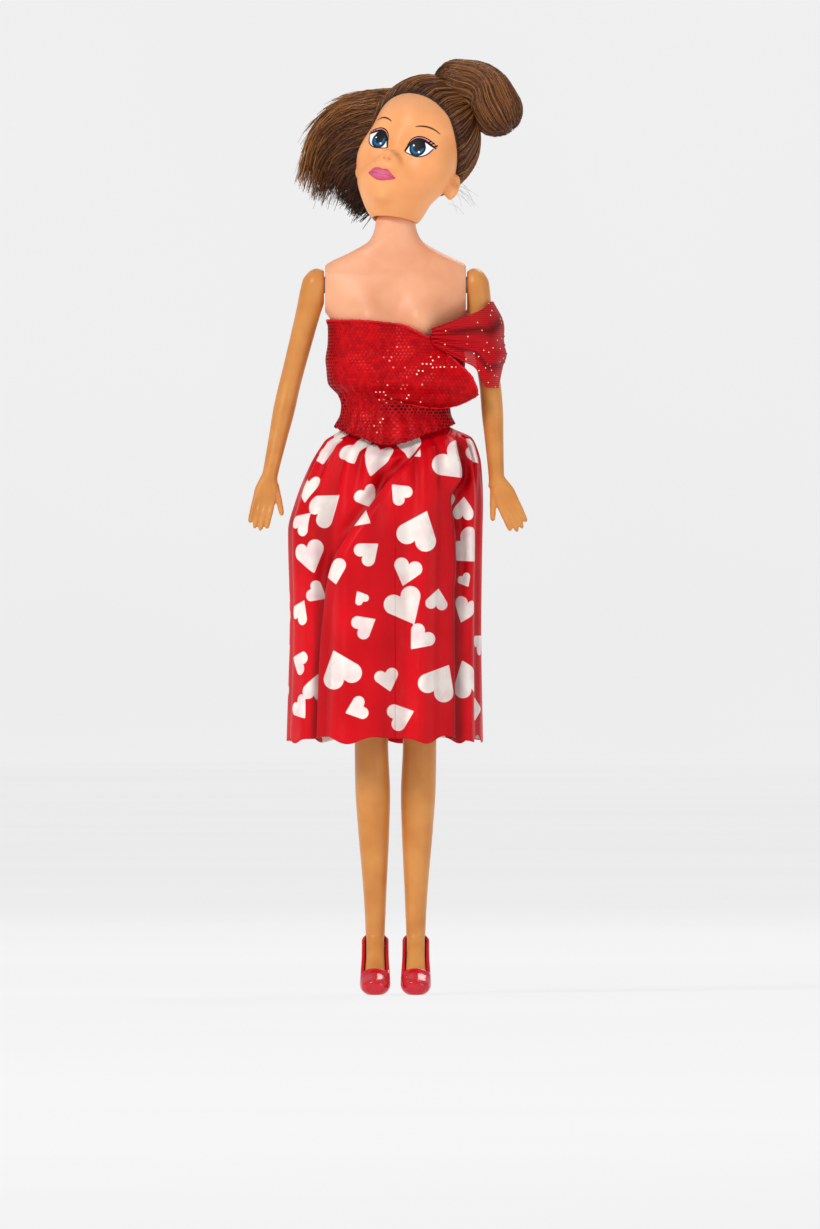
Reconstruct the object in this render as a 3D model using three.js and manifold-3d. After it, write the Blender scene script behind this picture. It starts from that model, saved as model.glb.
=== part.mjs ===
import * as THREE from 'three';
import { mergeVertices } from 'three/addons/utils/BufferGeometryUtils.js';
import Module from 'manifold-3d';

// A fashion doll about 290 mm tall, in millimetres: +Z is up, the doll faces -Y and its left is +X.
// The origin is the middle of its waist, where a hand or a stand holds it.

const wasm = await Module();
wasm.setup();

const { cos, sin, abs, sign, hypot, exp, sqrt, min, max, PI } = Math;
const degrees = PI / 180;

// Clearances
const fitGap = 0.35;
const clothGap = 0.35;
const runningGap = 0.45;

// Body, measured up from the soles of the shoes or from the hip axis
const legLength = 158;
const hipToWaist = 28;
const hipToShoulder = 65.8;
const neckLength = 22.7;
const hipToNeckTop = hipToShoulder + neckLength;
const shoulderHalfWidth = 22.2;
const waistHalfWidth = 13;
const hipHalfWidth = 17.4;
const chestDepth = 10;
const neckRadius = 6.6;
const torsoWall = 1.7;
const seamDepth = 0.6;
const bustDepth = 5;
const bustSpread = 8.6;
const bustHeight = 54;

// Neck knob and head seat
const knobRadius = 4.7;
const knobStemRadius = 2.6;
const knobHoleRadius = 3.8;
const seatHalfThickness = 1;
const seatLift = 2;
const neckTopToPivot = 3.6;
const headWall = 1.9;
const headHalfWidth = 15.5;
const headTurn = 25 * degrees;
const headRoll = 13 * degrees;
const headPitch = 12 * degrees;
const headPose = [-headPitch, headRoll, -headTurn, 'YZX'];
const nodSpace = [-4, 2, 8, 14];

// Arms
const armUpper = 31;
const armLower = 31;
const armRadius = 3.85;
const wristRadius = 2.5;
const armShoulderRadius = 5.2;
const elbowBend = 11 * degrees;
const elbowSoftness = 6;
const rightArm = { side: -1, splay: 14.4 * degrees, inward: 2.4 * degrees, handTurn: 1 * degrees };
const leftArm = { side: 1, splay: 8.2 * degrees, inward: 5 * degrees, handTurn: 21 * degrees };
const palmLength = 9.4;
const palmHalfWidth = 3.7;
const palmThickness = 2.8;
const fingerRadius = 0.98;
const fingerLength = 9;
const pegRadius = 2.6;
const pegFlange = 3.5;
const pegDepthInArm = 3;

// Legs and shoes
const legSpacing = 9.3;
const kneeSpacing = 7.6;
const ankleSpacing = 6.4;
const thighRadius = 9.1;
const kneeRadius = 5.6;
const calfRadius = 5.6;
const ankleRadius = 3.2;
const ankleHeight = 23;
const legGap = 1.7;
const webHalf = 1.25;
const axleRadius = 1.9;
const axleHalfLength = 7;
const shoeWall = 1;
const shoeHeelHeight = 14.5;

// Hair
const hairThickness = 1.1;
const bunRadius = 8.4;
const tieRadius = 0.85;
const tieSpread = 5.6;
const tieSeat = 0.35;

// Clothes
const clothThickness = 0.8;
const bodiceBlouse = 5.2;
const tapeWidth = 6;
const tapeThickness = 0.5;
const bindingRadius = 0.55;
const skirtLength = 100;
const skirtFullness = 1;
const drapeHeight = 27;
const drapeFold = 0.7;

// Heights above the soles
const waistHeight = legLength + hipToWaist;
const shoulderHeight = legLength + hipToShoulder;
const neckTop = legLength + hipToNeckTop;
const pivotHeight = neckTop + neckTopToPivot;

function solidOf(geometry) {
  const bare = geometry.clone();
  bare.deleteAttribute('normal');
  bare.deleteAttribute('uv');
  const merged = mergeVertices(bare, 1e-4);
  const mesh = new wasm.Mesh({
    numProp: 3,
    vertProperties: new Float32Array(merged.attributes.position.array),
    triVerts: new Uint32Array(merged.index.array),
  });
  mesh.merge();
  return new wasm.Manifold(mesh);
}

function geometryOf(solid) {
  const mesh = solid.getMesh();
  const geometry = new THREE.BufferGeometry();
  geometry.setAttribute('position', new THREE.BufferAttribute(new Float32Array(mesh.vertProperties), 3));
  geometry.setIndex(new THREE.BufferAttribute(new Uint32Array(mesh.triVerts), 1));
  return geometry;
}

// Turns a list of points and triangles into a geometry whose faces point out
function closedGeometry(points, triangles) {
  let volume = 0;
  for (const [a, b, c] of triangles) {
    const [p, q, r] = [points[a], points[b], points[c]];
    volume += p[0] * (q[1] * r[2] - q[2] * r[1]);
    volume += p[1] * (q[2] * r[0] - q[0] * r[2]);
    volume += p[2] * (q[0] * r[1] - q[1] * r[0]);
  }
  const index = triangles.flatMap(([a, b, c]) => (volume > 0 ? [a, b, c] : [a, c, b]));
  const geometry = new THREE.BufferGeometry();
  geometry.setAttribute('position', new THREE.Float32BufferAttribute(points.flat(), 3));
  geometry.setIndex(index);
  return geometry;
}

function middleOf(ring) {
  const sum = ring.reduce((s, p) => [s[0] + p[0], s[1] + p[1], s[2] + p[2]], [0, 0, 0]);
  return sum.map((v) => v / ring.length);
}

// A solid through closed rings of points, with a flat fan over each end
function loft(rings) {
  const n = rings[0].length;
  const points = rings.flat();
  const triangles = [];
  for (let i = 0; i + 1 < rings.length; i += 1) {
    for (let j = 0; j < n; j += 1) {
      const a = i * n + j;
      const b = i * n + ((j + 1) % n);
      triangles.push([a, b, b + n], [a, b + n, a + n]);
    }
  }
  const first = points.push(middleOf(rings[0])) - 1;
  const last = points.push(middleOf(rings[rings.length - 1])) - 1;
  const start = (rings.length - 1) * n;
  for (let j = 0; j < n; j += 1) {
    const k = (j + 1) % n;
    triangles.push([first, k, j], [last, start + j, start + k]);
  }
  return closedGeometry(points, triangles);
}

// A sheet with thickness: two grids of points, joined along their free edges.
// The columns close on themselves when the sheet is wrapped.
function sheetSolid(outer, inner, wrapped) {
  const rows = outer.length;
  const columns = outer[0].length;
  const points = [...outer.flat(), ...inner.flat()];
  const under = rows * columns;
  const spans = wrapped ? columns : columns - 1;
  const at = (i, j) => i * columns + (j % columns);
  const triangles = [];
  const quad = (a, b, c, d) => triangles.push([a, b, c], [a, c, d]);
  for (let i = 0; i + 1 < rows; i += 1) {
    for (let j = 0; j < spans; j += 1) {
      quad(at(i, j), at(i, j + 1), at(i + 1, j + 1), at(i + 1, j));
      quad(under + at(i, j), under + at(i + 1, j), under + at(i + 1, j + 1), under + at(i, j + 1));
    }
  }
  const lastRow = rows - 1;
  for (let j = 0; j < spans; j += 1) {
    quad(at(0, j), under + at(0, j), under + at(0, j + 1), at(0, j + 1));
    quad(at(lastRow, j), at(lastRow, j + 1), under + at(lastRow, j + 1), under + at(lastRow, j));
  }
  if (!wrapped) {
    const lastColumn = columns - 1;
    for (let i = 0; i < lastRow; i += 1) {
      quad(at(i, 0), at(i + 1, 0), under + at(i + 1, 0), under + at(i, 0));
      quad(
        at(i, lastColumn),
        under + at(i, lastColumn),
        under + at(i + 1, lastColumn),
        at(i + 1, lastColumn),
      );
    }
  }
  return closedGeometry(points, triangles);
}

// A round bar with capped ends along a list of points
function bar(path, radius, sides) {
  const count = path.length;
  return loft(path.map((point, i) => {
    const before = path[max(i - 1, 0)];
    const after = path[min(i + 1, count - 1)];
    const along = new THREE.Vector3(...after).sub(new THREE.Vector3(...before)).normalize();
    const across = new THREE.Vector3(0, 0, 1).cross(along).normalize();
    const up = along.clone().cross(across);
    return Array.from({ length: sides }, (_, k) => {
      const turn = (2 * PI * k) / sides;
      return new THREE.Vector3(...point)
        .addScaledVector(across, radius * cos(turn))
        .addScaledVector(up, radius * sin(turn))
        .toArray();
    });
  }));
}

// A smooth curve through rows of numbers whose first column rises, without overshoot
function smoothRows(rows) {
  const count = rows.length;
  const step = rows.slice(1).map((row, i) => row[0] - rows[i][0]);
  const width = rows[0].length - 1;
  const slopes = Array.from({ length: width }, (_, k) => {
    const secant = step.map((h, i) => (rows[i + 1][k + 1] - rows[i][k + 1]) / h);
    return rows.map((_row, i) => {
      if (i === 0) return secant[0];
      if (i === count - 1) return secant[count - 2];
      if (secant[i - 1] * secant[i] <= 0) return 0;
      return (2 * secant[i - 1] * secant[i]) / (secant[i - 1] + secant[i]);
    });
  });
  return (value) => {
    const x = min(max(value, rows[0][0]), rows[count - 1][0]);
    let i = 0;
    while (i < count - 2 && x > rows[i + 1][0]) i += 1;
    const t = (x - rows[i][0]) / step[i];
    const h00 = (1 + 2 * t) * (1 - t) * (1 - t);
    const h10 = t * (1 - t) * (1 - t);
    const h01 = t * t * (3 - 2 * t);
    const h11 = t * t * (t - 1);
    return slopes.map((slope, k) => {
      const ends = h00 * rows[i][k + 1] + h01 * rows[i + 1][k + 1];
      return ends + step[i] * (h10 * slope[i] + h11 * slope[i + 1]);
    });
  };
}

function smoothStep(low, high, value) {
  const t = min(max((value - low) / (high - low), 0), 1);
  return t * t * (3 - 2 * t);
}

function bell(value, width) {
  return exp(-((value / width) ** 2));
}

function steps(count) {
  return Array.from({ length: count + 1 }, (_, i) => i / count);
}

const roundPower = 0.86;
const power = (v, p) => sign(v) * abs(v) ** p;

// Torso outline: height above the hip axis, half width, front depth, back depth
const torsoRows = [
  [-9, 3.6, 4.6, 6],
  [-4, 12.6, 8, 9.4],
  [0, hipHalfWidth - 1.2, 8.8, 10.6],
  [8, hipHalfWidth, 9.2, 11.2],
  [16, hipHalfWidth - 1.9, 8.6, 9.7],
  [hipToWaist, waistHalfWidth, 7.2, 7],
  [hipToWaist + 10, waistHalfWidth + 1.7, 8, 7.6],
  [hipToShoulder - 19.5, shoulderHalfWidth - 4.6, chestDepth - 0.4, 8.6],
  [hipToShoulder - 12, shoulderHalfWidth - 2.2, chestDepth + 0.5, 9.3],
  [hipToShoulder - 4, shoulderHalfWidth + 2.4, chestDepth, 9.4],
  [hipToShoulder + 2.5, shoulderHalfWidth + 2.4, chestDepth - 1.6, 8.8],
  [hipToShoulder + 5.2, shoulderHalfWidth + 1, chestDepth - 3, 7.8],
  [hipToShoulder + 7, shoulderHalfWidth - 1.2, chestDepth - 3.7, 7],
  [hipToNeckTop - 12.6, neckRadius + 8, neckRadius - 0.9, 6.8],
  [hipToNeckTop - 8.6, neckRadius + 1.6, neckRadius - 0.7, neckRadius + 0.1],
  [hipToNeckTop - 5.4, neckRadius + 0.1, neckRadius - 0.5, neckRadius - 0.1],
  [hipToNeckTop - 1.8, neckRadius - 0.6, neckRadius - 0.9, neckRadius - 0.6],
  [hipToNeckTop, neckRadius - 2, neckRadius - 2, neckRadius - 2],
];
const torsoProfile = smoothRows(torsoRows);

function torsoPoint(angle, height, offset) {
  const [halfWidth, front, back] = torsoProfile(height - legLength);
  const c = cos(angle);
  const s = sin(angle);
  const limit = shoulderHalfWidth + offset;
  const x = (halfWidth + offset) * power(c, roundPower);
  const y = ((s < 0 ? front : back) + offset) * power(s, roundPower);
  const bust = bustDepth * bell(abs(x) - bustSpread, 6) * bell(height - legLength - bustHeight, 7.5);
  return [min(max(x, -limit), limit), s < 0 ? y + bust * s : y, height];
}

function torsoRing(height, offset, count) {
  return Array.from({ length: count }, (_, k) => torsoPoint((2 * PI * k) / count, height, offset));
}

function boxSolid(low, high) {
  const size = high.map((v, i) => v - low[i]);
  const box = new THREE.BoxGeometry(...size);
  box.translate(...low.map((v, i) => v + size[i] / 2));
  return solidOf(box);
}

// A cylinder along X, Y or Z from one place to another
function rodSolid(axis, radius, from, to, at, sides) {
  const rod = new THREE.CylinderGeometry(radius, radius, to - from, sides);
  if (axis === 'x') rod.rotateZ(-PI / 2);
  if (axis === 'z') rod.rotateX(PI / 2);
  const place = { x: [(from + to) / 2, at[0], at[1]], z: [at[0], at[1], (from + to) / 2] }[axis];
  rod.translate(...place);
  return solidOf(rod);
}

const far = 400;

function makeTorso() {
  const longestStep = 5.5;
  const heights = torsoRows.flatMap(([h], i) => {
    const next = torsoRows[i + 1];
    return next && next[0] - h > longestStep ? [h, (h + next[0]) / 2] : [h];
  });
  const outer = loft(heights.map((h) => torsoRing(legLength + h, 0, 28)));
  const hollowFloor = hipToWaist / 2;
  const hollowTop = hipToNeckTop - 2.6;
  const between = heights.filter((h) => h > hollowFloor + 2 && h < hollowTop - 1);
  const hollowHeights = [hollowFloor, ...between, hollowTop];
  const hollow = loft(hollowHeights.map((h) => torsoRing(legLength + h, -torsoWall, 20)));
  let torso = solidOf(outer).subtract(solidOf(hollow));
  const legSpace = thighRadius + runningGap;
  for (const side of [-1, 1]) {
    const inner = side * webHalf;
    const outerEdge = side * far;
    const [low, high] = [min(inner, outerEdge), max(inner, outerEdge)];
    torso = torso.subtract(rodSolid('x', legSpace, low, high, [0, legLength], 28));
    torso = torso.subtract(boxSolid([low, -far, 0], [high, 0, legLength + legSpace + 0.2]));
    torso = torso.subtract(boxSolid([low, -far, 0], [high, far, legLength + 3]));
    const armHoleEnds = [side * 10, outerEdge].sort((a, b) => a - b);
    const armHole = rodSolid('x', pegRadius + fitGap, ...armHoleEnds, [0, shoulderHeight], 16);
    torso = torso.subtract(armHole);
  }
  torso = torso.subtract(rodSolid('x', axleRadius + fitGap, -far, far, [0, legLength], 12));
  torso = torso.subtract(rodSolid('z', knobStemRadius + fitGap, shoulderHeight, neckTop + 5, [0, 0], 16));
  const half = fitGap / 2;
  const front = torso.intersect(boxSolid([-far, -far, 0], [far, seamDepth - half, far]));
  const back = torso.intersect(boxSolid([-far, seamDepth + half, 0], [far, far, far]));
  return { front, back };
}

// A stem through the top of the neck, with a plug below it and a mushroom cap in the head
function makeNeckKnob() {
  const wallUnder = neckTop - 2.6;
  const cap = pivotHeight + seatHalfThickness;
  const profile = [
    [0, wallUnder - 2.6],
    [2.8, wallUnder - 2.6],
    [3.6, wallUnder - 2],
    [3.6, wallUnder - fitGap],
    [knobStemRadius, wallUnder - fitGap],
    [knobStemRadius, cap + 1.6],
    [knobRadius - 0.6, cap + 2.4],
    [knobRadius, cap + 3.1],
    [knobRadius - 0.5, cap + 4.2],
    [knobRadius - 2.2, cap + 5.2],
    [0, cap + 5.6],
  ];
  return latheSolid(profile, 16);
}

// A solid turned round the upright axis, from a list of radius and height that runs upward
function latheSolid(profile, sides) {
  const points = profile.map(([radius, height]) => new THREE.Vector2(radius, height));
  const lathe = new THREE.LatheGeometry(points, sides);
  lathe.rotateX(PI / 2);
  return solidOf(lathe);
}

// The places and radii of the head and the hair are written for a head with this half width
const writtenHalfWidth = 15.5;
const headUnit = headHalfWidth / writtenHalfWidth;
const sized = (values) => values.map((v) => v * headUnit);

// Head: distance from a point to the blend of the skull, cheeks, jaw, nose, lips and ears
const headMiddle = sized([0, 1, 19]);
const headForms = [
  { at: [0, 4.4, 24.8], radii: [15.5, 17, 17.6], blend: 0 },
  { at: [6.6, -1.6, 14.6], radii: [8.6, 9.6, 11], blend: 3.5 },
  { at: [-6.6, -1.6, 14.6], radii: [8.6, 9.6, 11], blend: 3.5 },
  { at: [0, -5.8, 5.2], radii: [10.6, 8.8, 7], blend: 4 },
  { at: [0, -11.8, 1.8], radii: [3.6, 3, 3.2], blend: 2.5 },
  { at: [0, 0.6, 1.4], radii: [9.5, 9.8, 8.2], blend: 5.5 },
  { at: [0, -10.4, 17.6], radii: [2, 2, 5.4], blend: 3 },
  { at: [0, -14.9, 12.9], radii: [2, 2.1, 1.7], blend: 1.6 },
  { at: [0, -10.8, 7], radii: [6.4, 4.2, 4.6], blend: 3.5 },
  { at: [0, -14.9, 7.1], radii: [4.2, 1.5, 0.95], blend: 0.9 },
  { at: [0, -14.7, 5.6], radii: [3.4, 1.4, 0.95], blend: 0.9 },
  { at: [16, 3, 11.2], radii: [2.2, 1.8, 4.2], blend: 0.9 },
  { at: [-16, 3, 11.2], radii: [2.2, 1.8, 4.2], blend: 0.9 },
].map(({ at, radii, blend }) => ({ at: sized(at), radii: sized(radii), blend: blend * headUnit }));

function headDistance(point) {
  let distance = Infinity;
  for (const { at, radii, blend } of headForms) {
    const p = point.map((v, i) => v - at[i]);
    const k0 = hypot(p[0] / radii[0], p[1] / radii[1], p[2] / radii[2]);
    const k1 = hypot(p[0] / radii[0] ** 2, p[1] / radii[1] ** 2, p[2] / radii[2] ** 2);
    const d = k1 > 1e-9 ? (k0 * (k0 - 1)) / k1 : -min(...radii);
    if (distance === Infinity || blend === 0) {
      distance = min(distance, d);
    } else {
      const h = max(blend - abs(distance - d), 0) / blend;
      distance = min(distance, d) - (h * h * blend) / 4;
    }
  }
  return distance;
}

function headPoint(direction, offset) {
  let reach = 32;
  for (let i = 0; i < 60; i += 1) {
    const point = headMiddle.map((v, k) => v + direction[k] * reach);
    const d = headDistance(point);
    if (d < 0.002) break;
    reach -= d * 0.85;
  }
  return headMiddle.map((v, k) => v + direction[k] * (reach + offset));
}

// Rings up the head; the columns lie closer together on the face than behind
function headRings(columns, rows, offset) {
  const closeness = 0.55;
  return steps(rows).map((t) => {
    const lift = -PI / 2 + 0.12 + t * (PI - 0.17);
    return Array.from({ length: columns }, (_, j) => {
      const u = (2 * PI * j) / columns;
      const turn = -PI / 2 + u - closeness * sin(u);
      return headPoint([cos(lift) * cos(turn), cos(lift) * sin(turn), sin(lift)], offset);
    });
  });
}

function makeHead() {
  const outer = solidOf(loft(headRings(38, 28, 0)));
  const hollow = solidOf(loft(headRings(16, 8, -headWall)));
  const floor = seatLift + seatHalfThickness;
  const cavity = hollow.intersect(boxSolid([-far, -far, floor], [far, far, far]));
  const hole = rodSolid('z', knobHoleRadius, -2, floor + 2, [0, 0], 16);
  const under = seatLift - seatHalfThickness;
  const mouth = latheSolid([[0, -1.2], [6.2, -1.2], [5.4, under], [0, under]], 20);
  let head = outer.subtract(cavity).subtract(hole).subtract(mouth);
  for (const nod of nodSpace) head = head.subtract(neckSpace(nod));
  return head;
}

// The room that the neck needs inside the head, at one angle of the nod
function neckSpace(nod) {
  const profile = [
    [0, -12.6], [neckRadius + 8, -12.6], [neckRadius + 1.9, -8.6], [neckRadius + 0.2, -5.4],
    [neckRadius - 0.5, -1.6], [neckRadius - 2, fitGap], [0, fitGap],
  ].map(([radius, height]) => [
    radius > 0 ? radius + runningGap : 0,
    height - neckTopToPivot,
  ]);
  const upright = new THREE.Matrix4()
    .makeRotationFromEuler(new THREE.Euler(...headPose))
    .invert();
  const move = new THREE.Matrix4()
    .makeTranslation(0, 0, seatLift)
    .multiply(new THREE.Matrix4().makeRotationX(-nod * degrees))
    .multiply(upright);
  return latheSolid(profile, 20).transform(move.elements);
}

// Hair: the hairline round the skull, from the middle of the forehead over the doll's left ear
const hairlineHalf = [
  [0, -12.6, 34.6],
  [5.6, -12.6, 33.6],
  [10.6, -10.6, 29.8],
  [13.4, -6, 25],
  [14.8, -1.4, 20],
  [15.2, 3, 17.4],
  [15, 7.4, 15],
  [13.8, 10.4, 8.6],
  [9.4, 14, 4],
  [0, 16.4, 2],
].map(sized);
// The cap's flat faces need a little more room over the round skull
const capGap = fitGap + 0.45;
const bunDirection = new THREE.Vector3(0.5, 0.24, 0.83).normalize();

function hairline(count) {
  const half = hairlineHalf.map((p) => new THREE.Vector3(...p));
  const other = half.slice(1, -1).reverse().map((p) => new THREE.Vector3(-p.x, p.y, p.z));
  const curve = new THREE.CatmullRomCurve3([...half, ...other], true);
  const middle = new THREE.Vector3(...headMiddle);
  return Array.from({ length: count }, (_, i) => curve.getPointAt(i / count).sub(middle).normalize());
}

function capDirections(count, t) {
  return hairline(count).map((edge) => {
    const angle = edge.angleTo(bunDirection);
    const a = sin((1 - t) * angle) / sin(angle);
    const b = sin(t * angle) / sin(angle);
    return edge.clone().multiplyScalar(a).addScaledVector(bunDirection, b).toArray();
  });
}

function makeHairCap() {
  const around = 28;
  const rowTimes = [0, 0.1, 0.22, 0.35, 0.48, 0.61, 0.74, 0.86, 0.97];
  const thickness = (t) => 0.5 + (hairThickness - 0.5) * smoothStep(0, 0.2, t);
  const grid = (offset) => rowTimes.map((t) => (
    capDirections(around, t).map((direction) => headPoint(direction, capGap + offset(t)))
  ));
  return solidOf(sheetSolid(grid(thickness), grid(() => 0), true));
}

// What the hair on top of the cap has to stay clear of
function headSpace() {
  return solidOf(loft(headRings(26, 17, capGap + hairThickness + fitGap + 0.25)));
}

function tieCentre() {
  const lift = capGap + hairThickness + tieSeat + fitGap + tieRadius;
  return new THREE.Vector3(...headPoint(bunDirection.toArray(), lift));
}

function tieSolid(radius, sides, around) {
  const torus = new THREE.TorusGeometry(tieSpread, radius, sides, around);
  const turn = new THREE.Quaternion().setFromUnitVectors(new THREE.Vector3(0, 0, 1), bunDirection);
  torus.applyQuaternion(turn);
  torus.translate(...tieCentre().toArray());
  return solidOf(torus);
}

function makeBun() {
  const curve = new THREE.CatmullRomCurve3([
    new THREE.Vector3(...sized([6.4, 3.6, 44])),
    new THREE.Vector3(...sized([13.3, 6.4, 44.6])),
    new THREE.Vector3(...sized([19.2, 9.4, 40])),
  ]);
  const rings = [];
  const lobes = 5;
  const place = (point, along, radius) => {
    const across = new THREE.Vector3(0, 1, 0).cross(along).normalize();
    const up = along.clone().cross(across);
    return Array.from({ length: 14 }, (_, k) => {
      const turn = (2 * PI * k) / 14;
      const ray = across.clone().multiplyScalar(cos(turn)).addScaledVector(up, sin(turn));
      return point.clone().addScaledVector(ray, radius).toArray();
    });
  };
  const startAlong = curve.getTangentAt(0);
  const endAlong = curve.getTangentAt(1);
  for (const t of [0.04, 0.3, 0.62]) {
    const reach = bunRadius * sqrt(1 - (1 - t) ** 2);
    const point = curve.getPointAt(0).addScaledVector(startAlong, -bunRadius * (1 - t));
    rings.push(place(point, startAlong, reach));
  }
  for (const t of steps(lobes)) {
    const swell = 1 + 0.03 * sin(PI * t);
    rings.push(place(curve.getPointAt(t), curve.getTangentAt(t), bunRadius * swell));
  }
  for (const t of [0.62, 0.3, 0.04]) {
    const reach = bunRadius * sqrt(1 - (1 - t) ** 2);
    const point = curve.getPointAt(1).addScaledVector(endAlong, bunRadius * (1 - t));
    rings.push(place(point, endAlong, reach));
  }
  const bun = solidOf(loft(rings)).subtract(headSpace());
  return largestPiece(bun.subtract(tieSolid(tieRadius + fitGap, 6, 16)));
}

function largestPiece(solid) {
  const pieces = solid.decompose();
  return pieces.reduce((best, piece) => (piece.volume() > best.volume() ? piece : best));
}

function makeHairTie() {
  return tieSolid(tieRadius, 6, 16);
}

// Brushed-out hair on the right of the head: where the tuft's outer and inner edges run
const tuftOuter = [
  [-9, -1, 39.8], [-20, -1, 36.2], [-30.4, 0, 29.6], [-35.4, 0.6, 18.6], [-33.8, 1.4, 1.6],
].map(sized);
const tuftInner = [
  [-6, 11, 4], [-9.6, 12, 0.8], [-11.8, 12, -2.4], [-13.4, 11.6, -5], [-15, 11, -7.4],
].map(sized);
const tuftHalfThickness = sized([9, 8, 6.6, 5.2, 2.6]);
const tuftShift = sized([6.5, 4, 2.4, 1.6, 1]);

function makeLooseHair() {
  const outerCurve = new THREE.CatmullRomCurve3(tuftOuter.map((p) => new THREE.Vector3(...p)));
  const innerCurve = new THREE.CatmullRomCurve3(tuftInner.map((p) => new THREE.Vector3(...p)));
  const thick = smoothRows(tuftHalfThickness.map((h, i) => [i / 4, h, tuftShift[i]]));
  const rings = steps(8).map((t) => {
    const a = outerCurve.getPoint(t);
    const b = innerCurve.getPoint(t);
    const [half, shift] = thick(t);
    const count = 18;
    return Array.from({ length: count }, (_, k) => {
      const turn = (2 * PI * k) / count;
      const across = (1 - power(cos(turn), 0.8)) / 2;
      const lock = 1 + 0.1 * sin(9 * across + 2);
      const point = a.clone().lerp(b, across);
      return [point.x, point.y + shift + half * lock * power(sin(turn), 0.9), point.z];
    });
  });
  return largestPiece(solidOf(loft(rings)).subtract(headSpace()));
}

const armCentre = shoulderHalfWidth + armRadius - 0.75;

// Arms. The path starts at the shoulder's middle and runs down to the wrist.
function armPoint(along, { splay, inward }) {
  const reach = max(along - armUpper, 0);
  const bent = reach > 0 ? (reach * reach) / (reach + elbowSoftness) : 0;
  const straight = along - bent;
  const lower = bent * cos(elbowBend);
  return new THREE.Vector3(
    straight * sin(splay) + lower * sin(splay - inward),
    -bent * sin(elbowBend),
    -straight * cos(splay) - lower * cos(splay - inward),
  );
}

const armRows = [
  [-armShoulderRadius, 0.9, 0.9],
  [-armShoulderRadius + 0.7, 2.1, 2.2],
  [-armShoulderRadius + 2.2, 3.3, 3.5],
  [0, armRadius + 0.45, armRadius + 0.6],
  [10, armRadius, armRadius + 0.4],
  [armUpper - 12, armRadius - 0.25, armRadius],
  [armUpper, armRadius - 0.45, armRadius - 0.15],
  [armUpper + 8, armRadius - 0.4, armRadius - 0.2],
  [armUpper + 20, armRadius - 0.95, armRadius - 0.85],
  [armUpper + armLower, wristRadius, wristRadius - 0.15],
  [armUpper + armLower + 2.4, wristRadius + 0.35, wristRadius - 0.5],
];

function makeArm(shape) {
  const { side, splay, handTurn } = shape;
  const profile = smoothRows(armRows);
  const wrist = armUpper + armLower;
  const outward = new THREE.Vector3(cos(splay), 0, sin(splay));
  const lengths = [
    -armShoulderRadius, -4.6, -3.4, -1.4, 2, 10, 20,
    armUpper - 1, armUpper + 4, armUpper + 11, armUpper + 21, wrist - 1, wrist + 2.4,
  ];
  const rings = lengths.map((s) => {
    const [halfWidth, halfDepth] = profile(s);
    const centre = armPoint(s, shape);
    const along = armPoint(s + 0.5, shape).sub(armPoint(s - 0.5, shape)).normalize();
    const fore = along.clone().cross(outward).normalize();
    return Array.from({ length: 12 }, (_, k) => {
      const turn = (2 * PI * k) / 12;
      return centre.clone()
        .addScaledVector(outward, halfWidth * cos(turn))
        .addScaledVector(fore, halfDepth * sin(turn))
        .toArray();
    });
  });
  let arm = solidOf(loft(rings));
  const start = armPoint(wrist, shape);
  const foreArm = armPoint(wrist, shape).sub(armPoint(wrist - 1, shape)).normalize();
  const thick = foreArm.clone().cross(outward).normalize();
  const down = foreArm.clone().applyAxisAngle(thick, handTurn).normalize();
  const out = thick.clone().cross(down).normalize();
  const handAt = (along, across, depth) => start.clone()
    .addScaledVector(down, along)
    .addScaledVector(out, across)
    .addScaledVector(thick, depth);
  const palmRows = smoothRows([
    [-1.5, wristRadius - 0.5, wristRadius - 0.8],
    [2, wristRadius + 0.4, palmThickness / 2 + 0.4],
    [6, palmHalfWidth, palmThickness / 2],
    [palmLength, palmHalfWidth - 0.1, palmThickness / 2 - 0.3],
    [palmLength + 1, palmHalfWidth - 0.9, palmThickness / 2 - 0.7],
  ]);
  const palm = [-1.5, 1, 3.5, 6.5, palmLength, palmLength + 1].map((s) => {
    const [halfWidth, halfDepth] = palmRows(s);
    return Array.from({ length: 10 }, (_, k) => {
      const turn = (2 * PI * k) / 10;
      return handAt(s, halfWidth * power(cos(turn), 0.8), halfDepth * power(sin(turn), 0.8)).toArray();
    });
  });
  arm = arm.add(solidOf(loft(palm)));
  const digits = [-1, -0.34, 0.34, 1].map((place, i) => ({
    from: [palmLength - 1.4, place * (palmHalfWidth - fingerRadius), 0],
    to: [
      palmLength + fingerLength * [0.87, 1, 0.96, 0.8][i],
      place * (palmHalfWidth - fingerRadius) * 1.04,
      -0.9,
    ],
    radius: fingerRadius,
  }));
  digits.push({
    from: [3.2, -palmHalfWidth + 1, -0.3],
    to: [12, -palmHalfWidth - 3, -0.6],
    radius: fingerRadius * 1.15,
  });
  for (const { from, to, radius } of digits) {
    const a = handAt(...from);
    const b = handAt(...to);
    arm = arm.add(taperedBar(a, b, radius, radius * 0.72));
  }
  const flat = side * (shoulderHalfWidth + fitGap);
  const shoulderX = side * armCentre;
  arm = side > 0 ? arm : arm.mirror([1, 0, 0]);
  arm = arm.translate([shoulderX, 0, shoulderHeight]);
  const keep = side > 0
    ? boxSolid([flat, -far, -far], [far, far, far])
    : boxSolid([-far, -far, -far], [flat, far, far]);
  const socketDepth = side * (shoulderHalfWidth + pegDepthInArm + fitGap);
  const socketEnds = [side * 10, socketDepth].sort((a, b) => a - b);
  const socket = rodSolid('x', pegRadius + fitGap, ...socketEnds, [0, shoulderHeight], 12);
  return arm.intersect(keep).subtract(socket);
}

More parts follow.
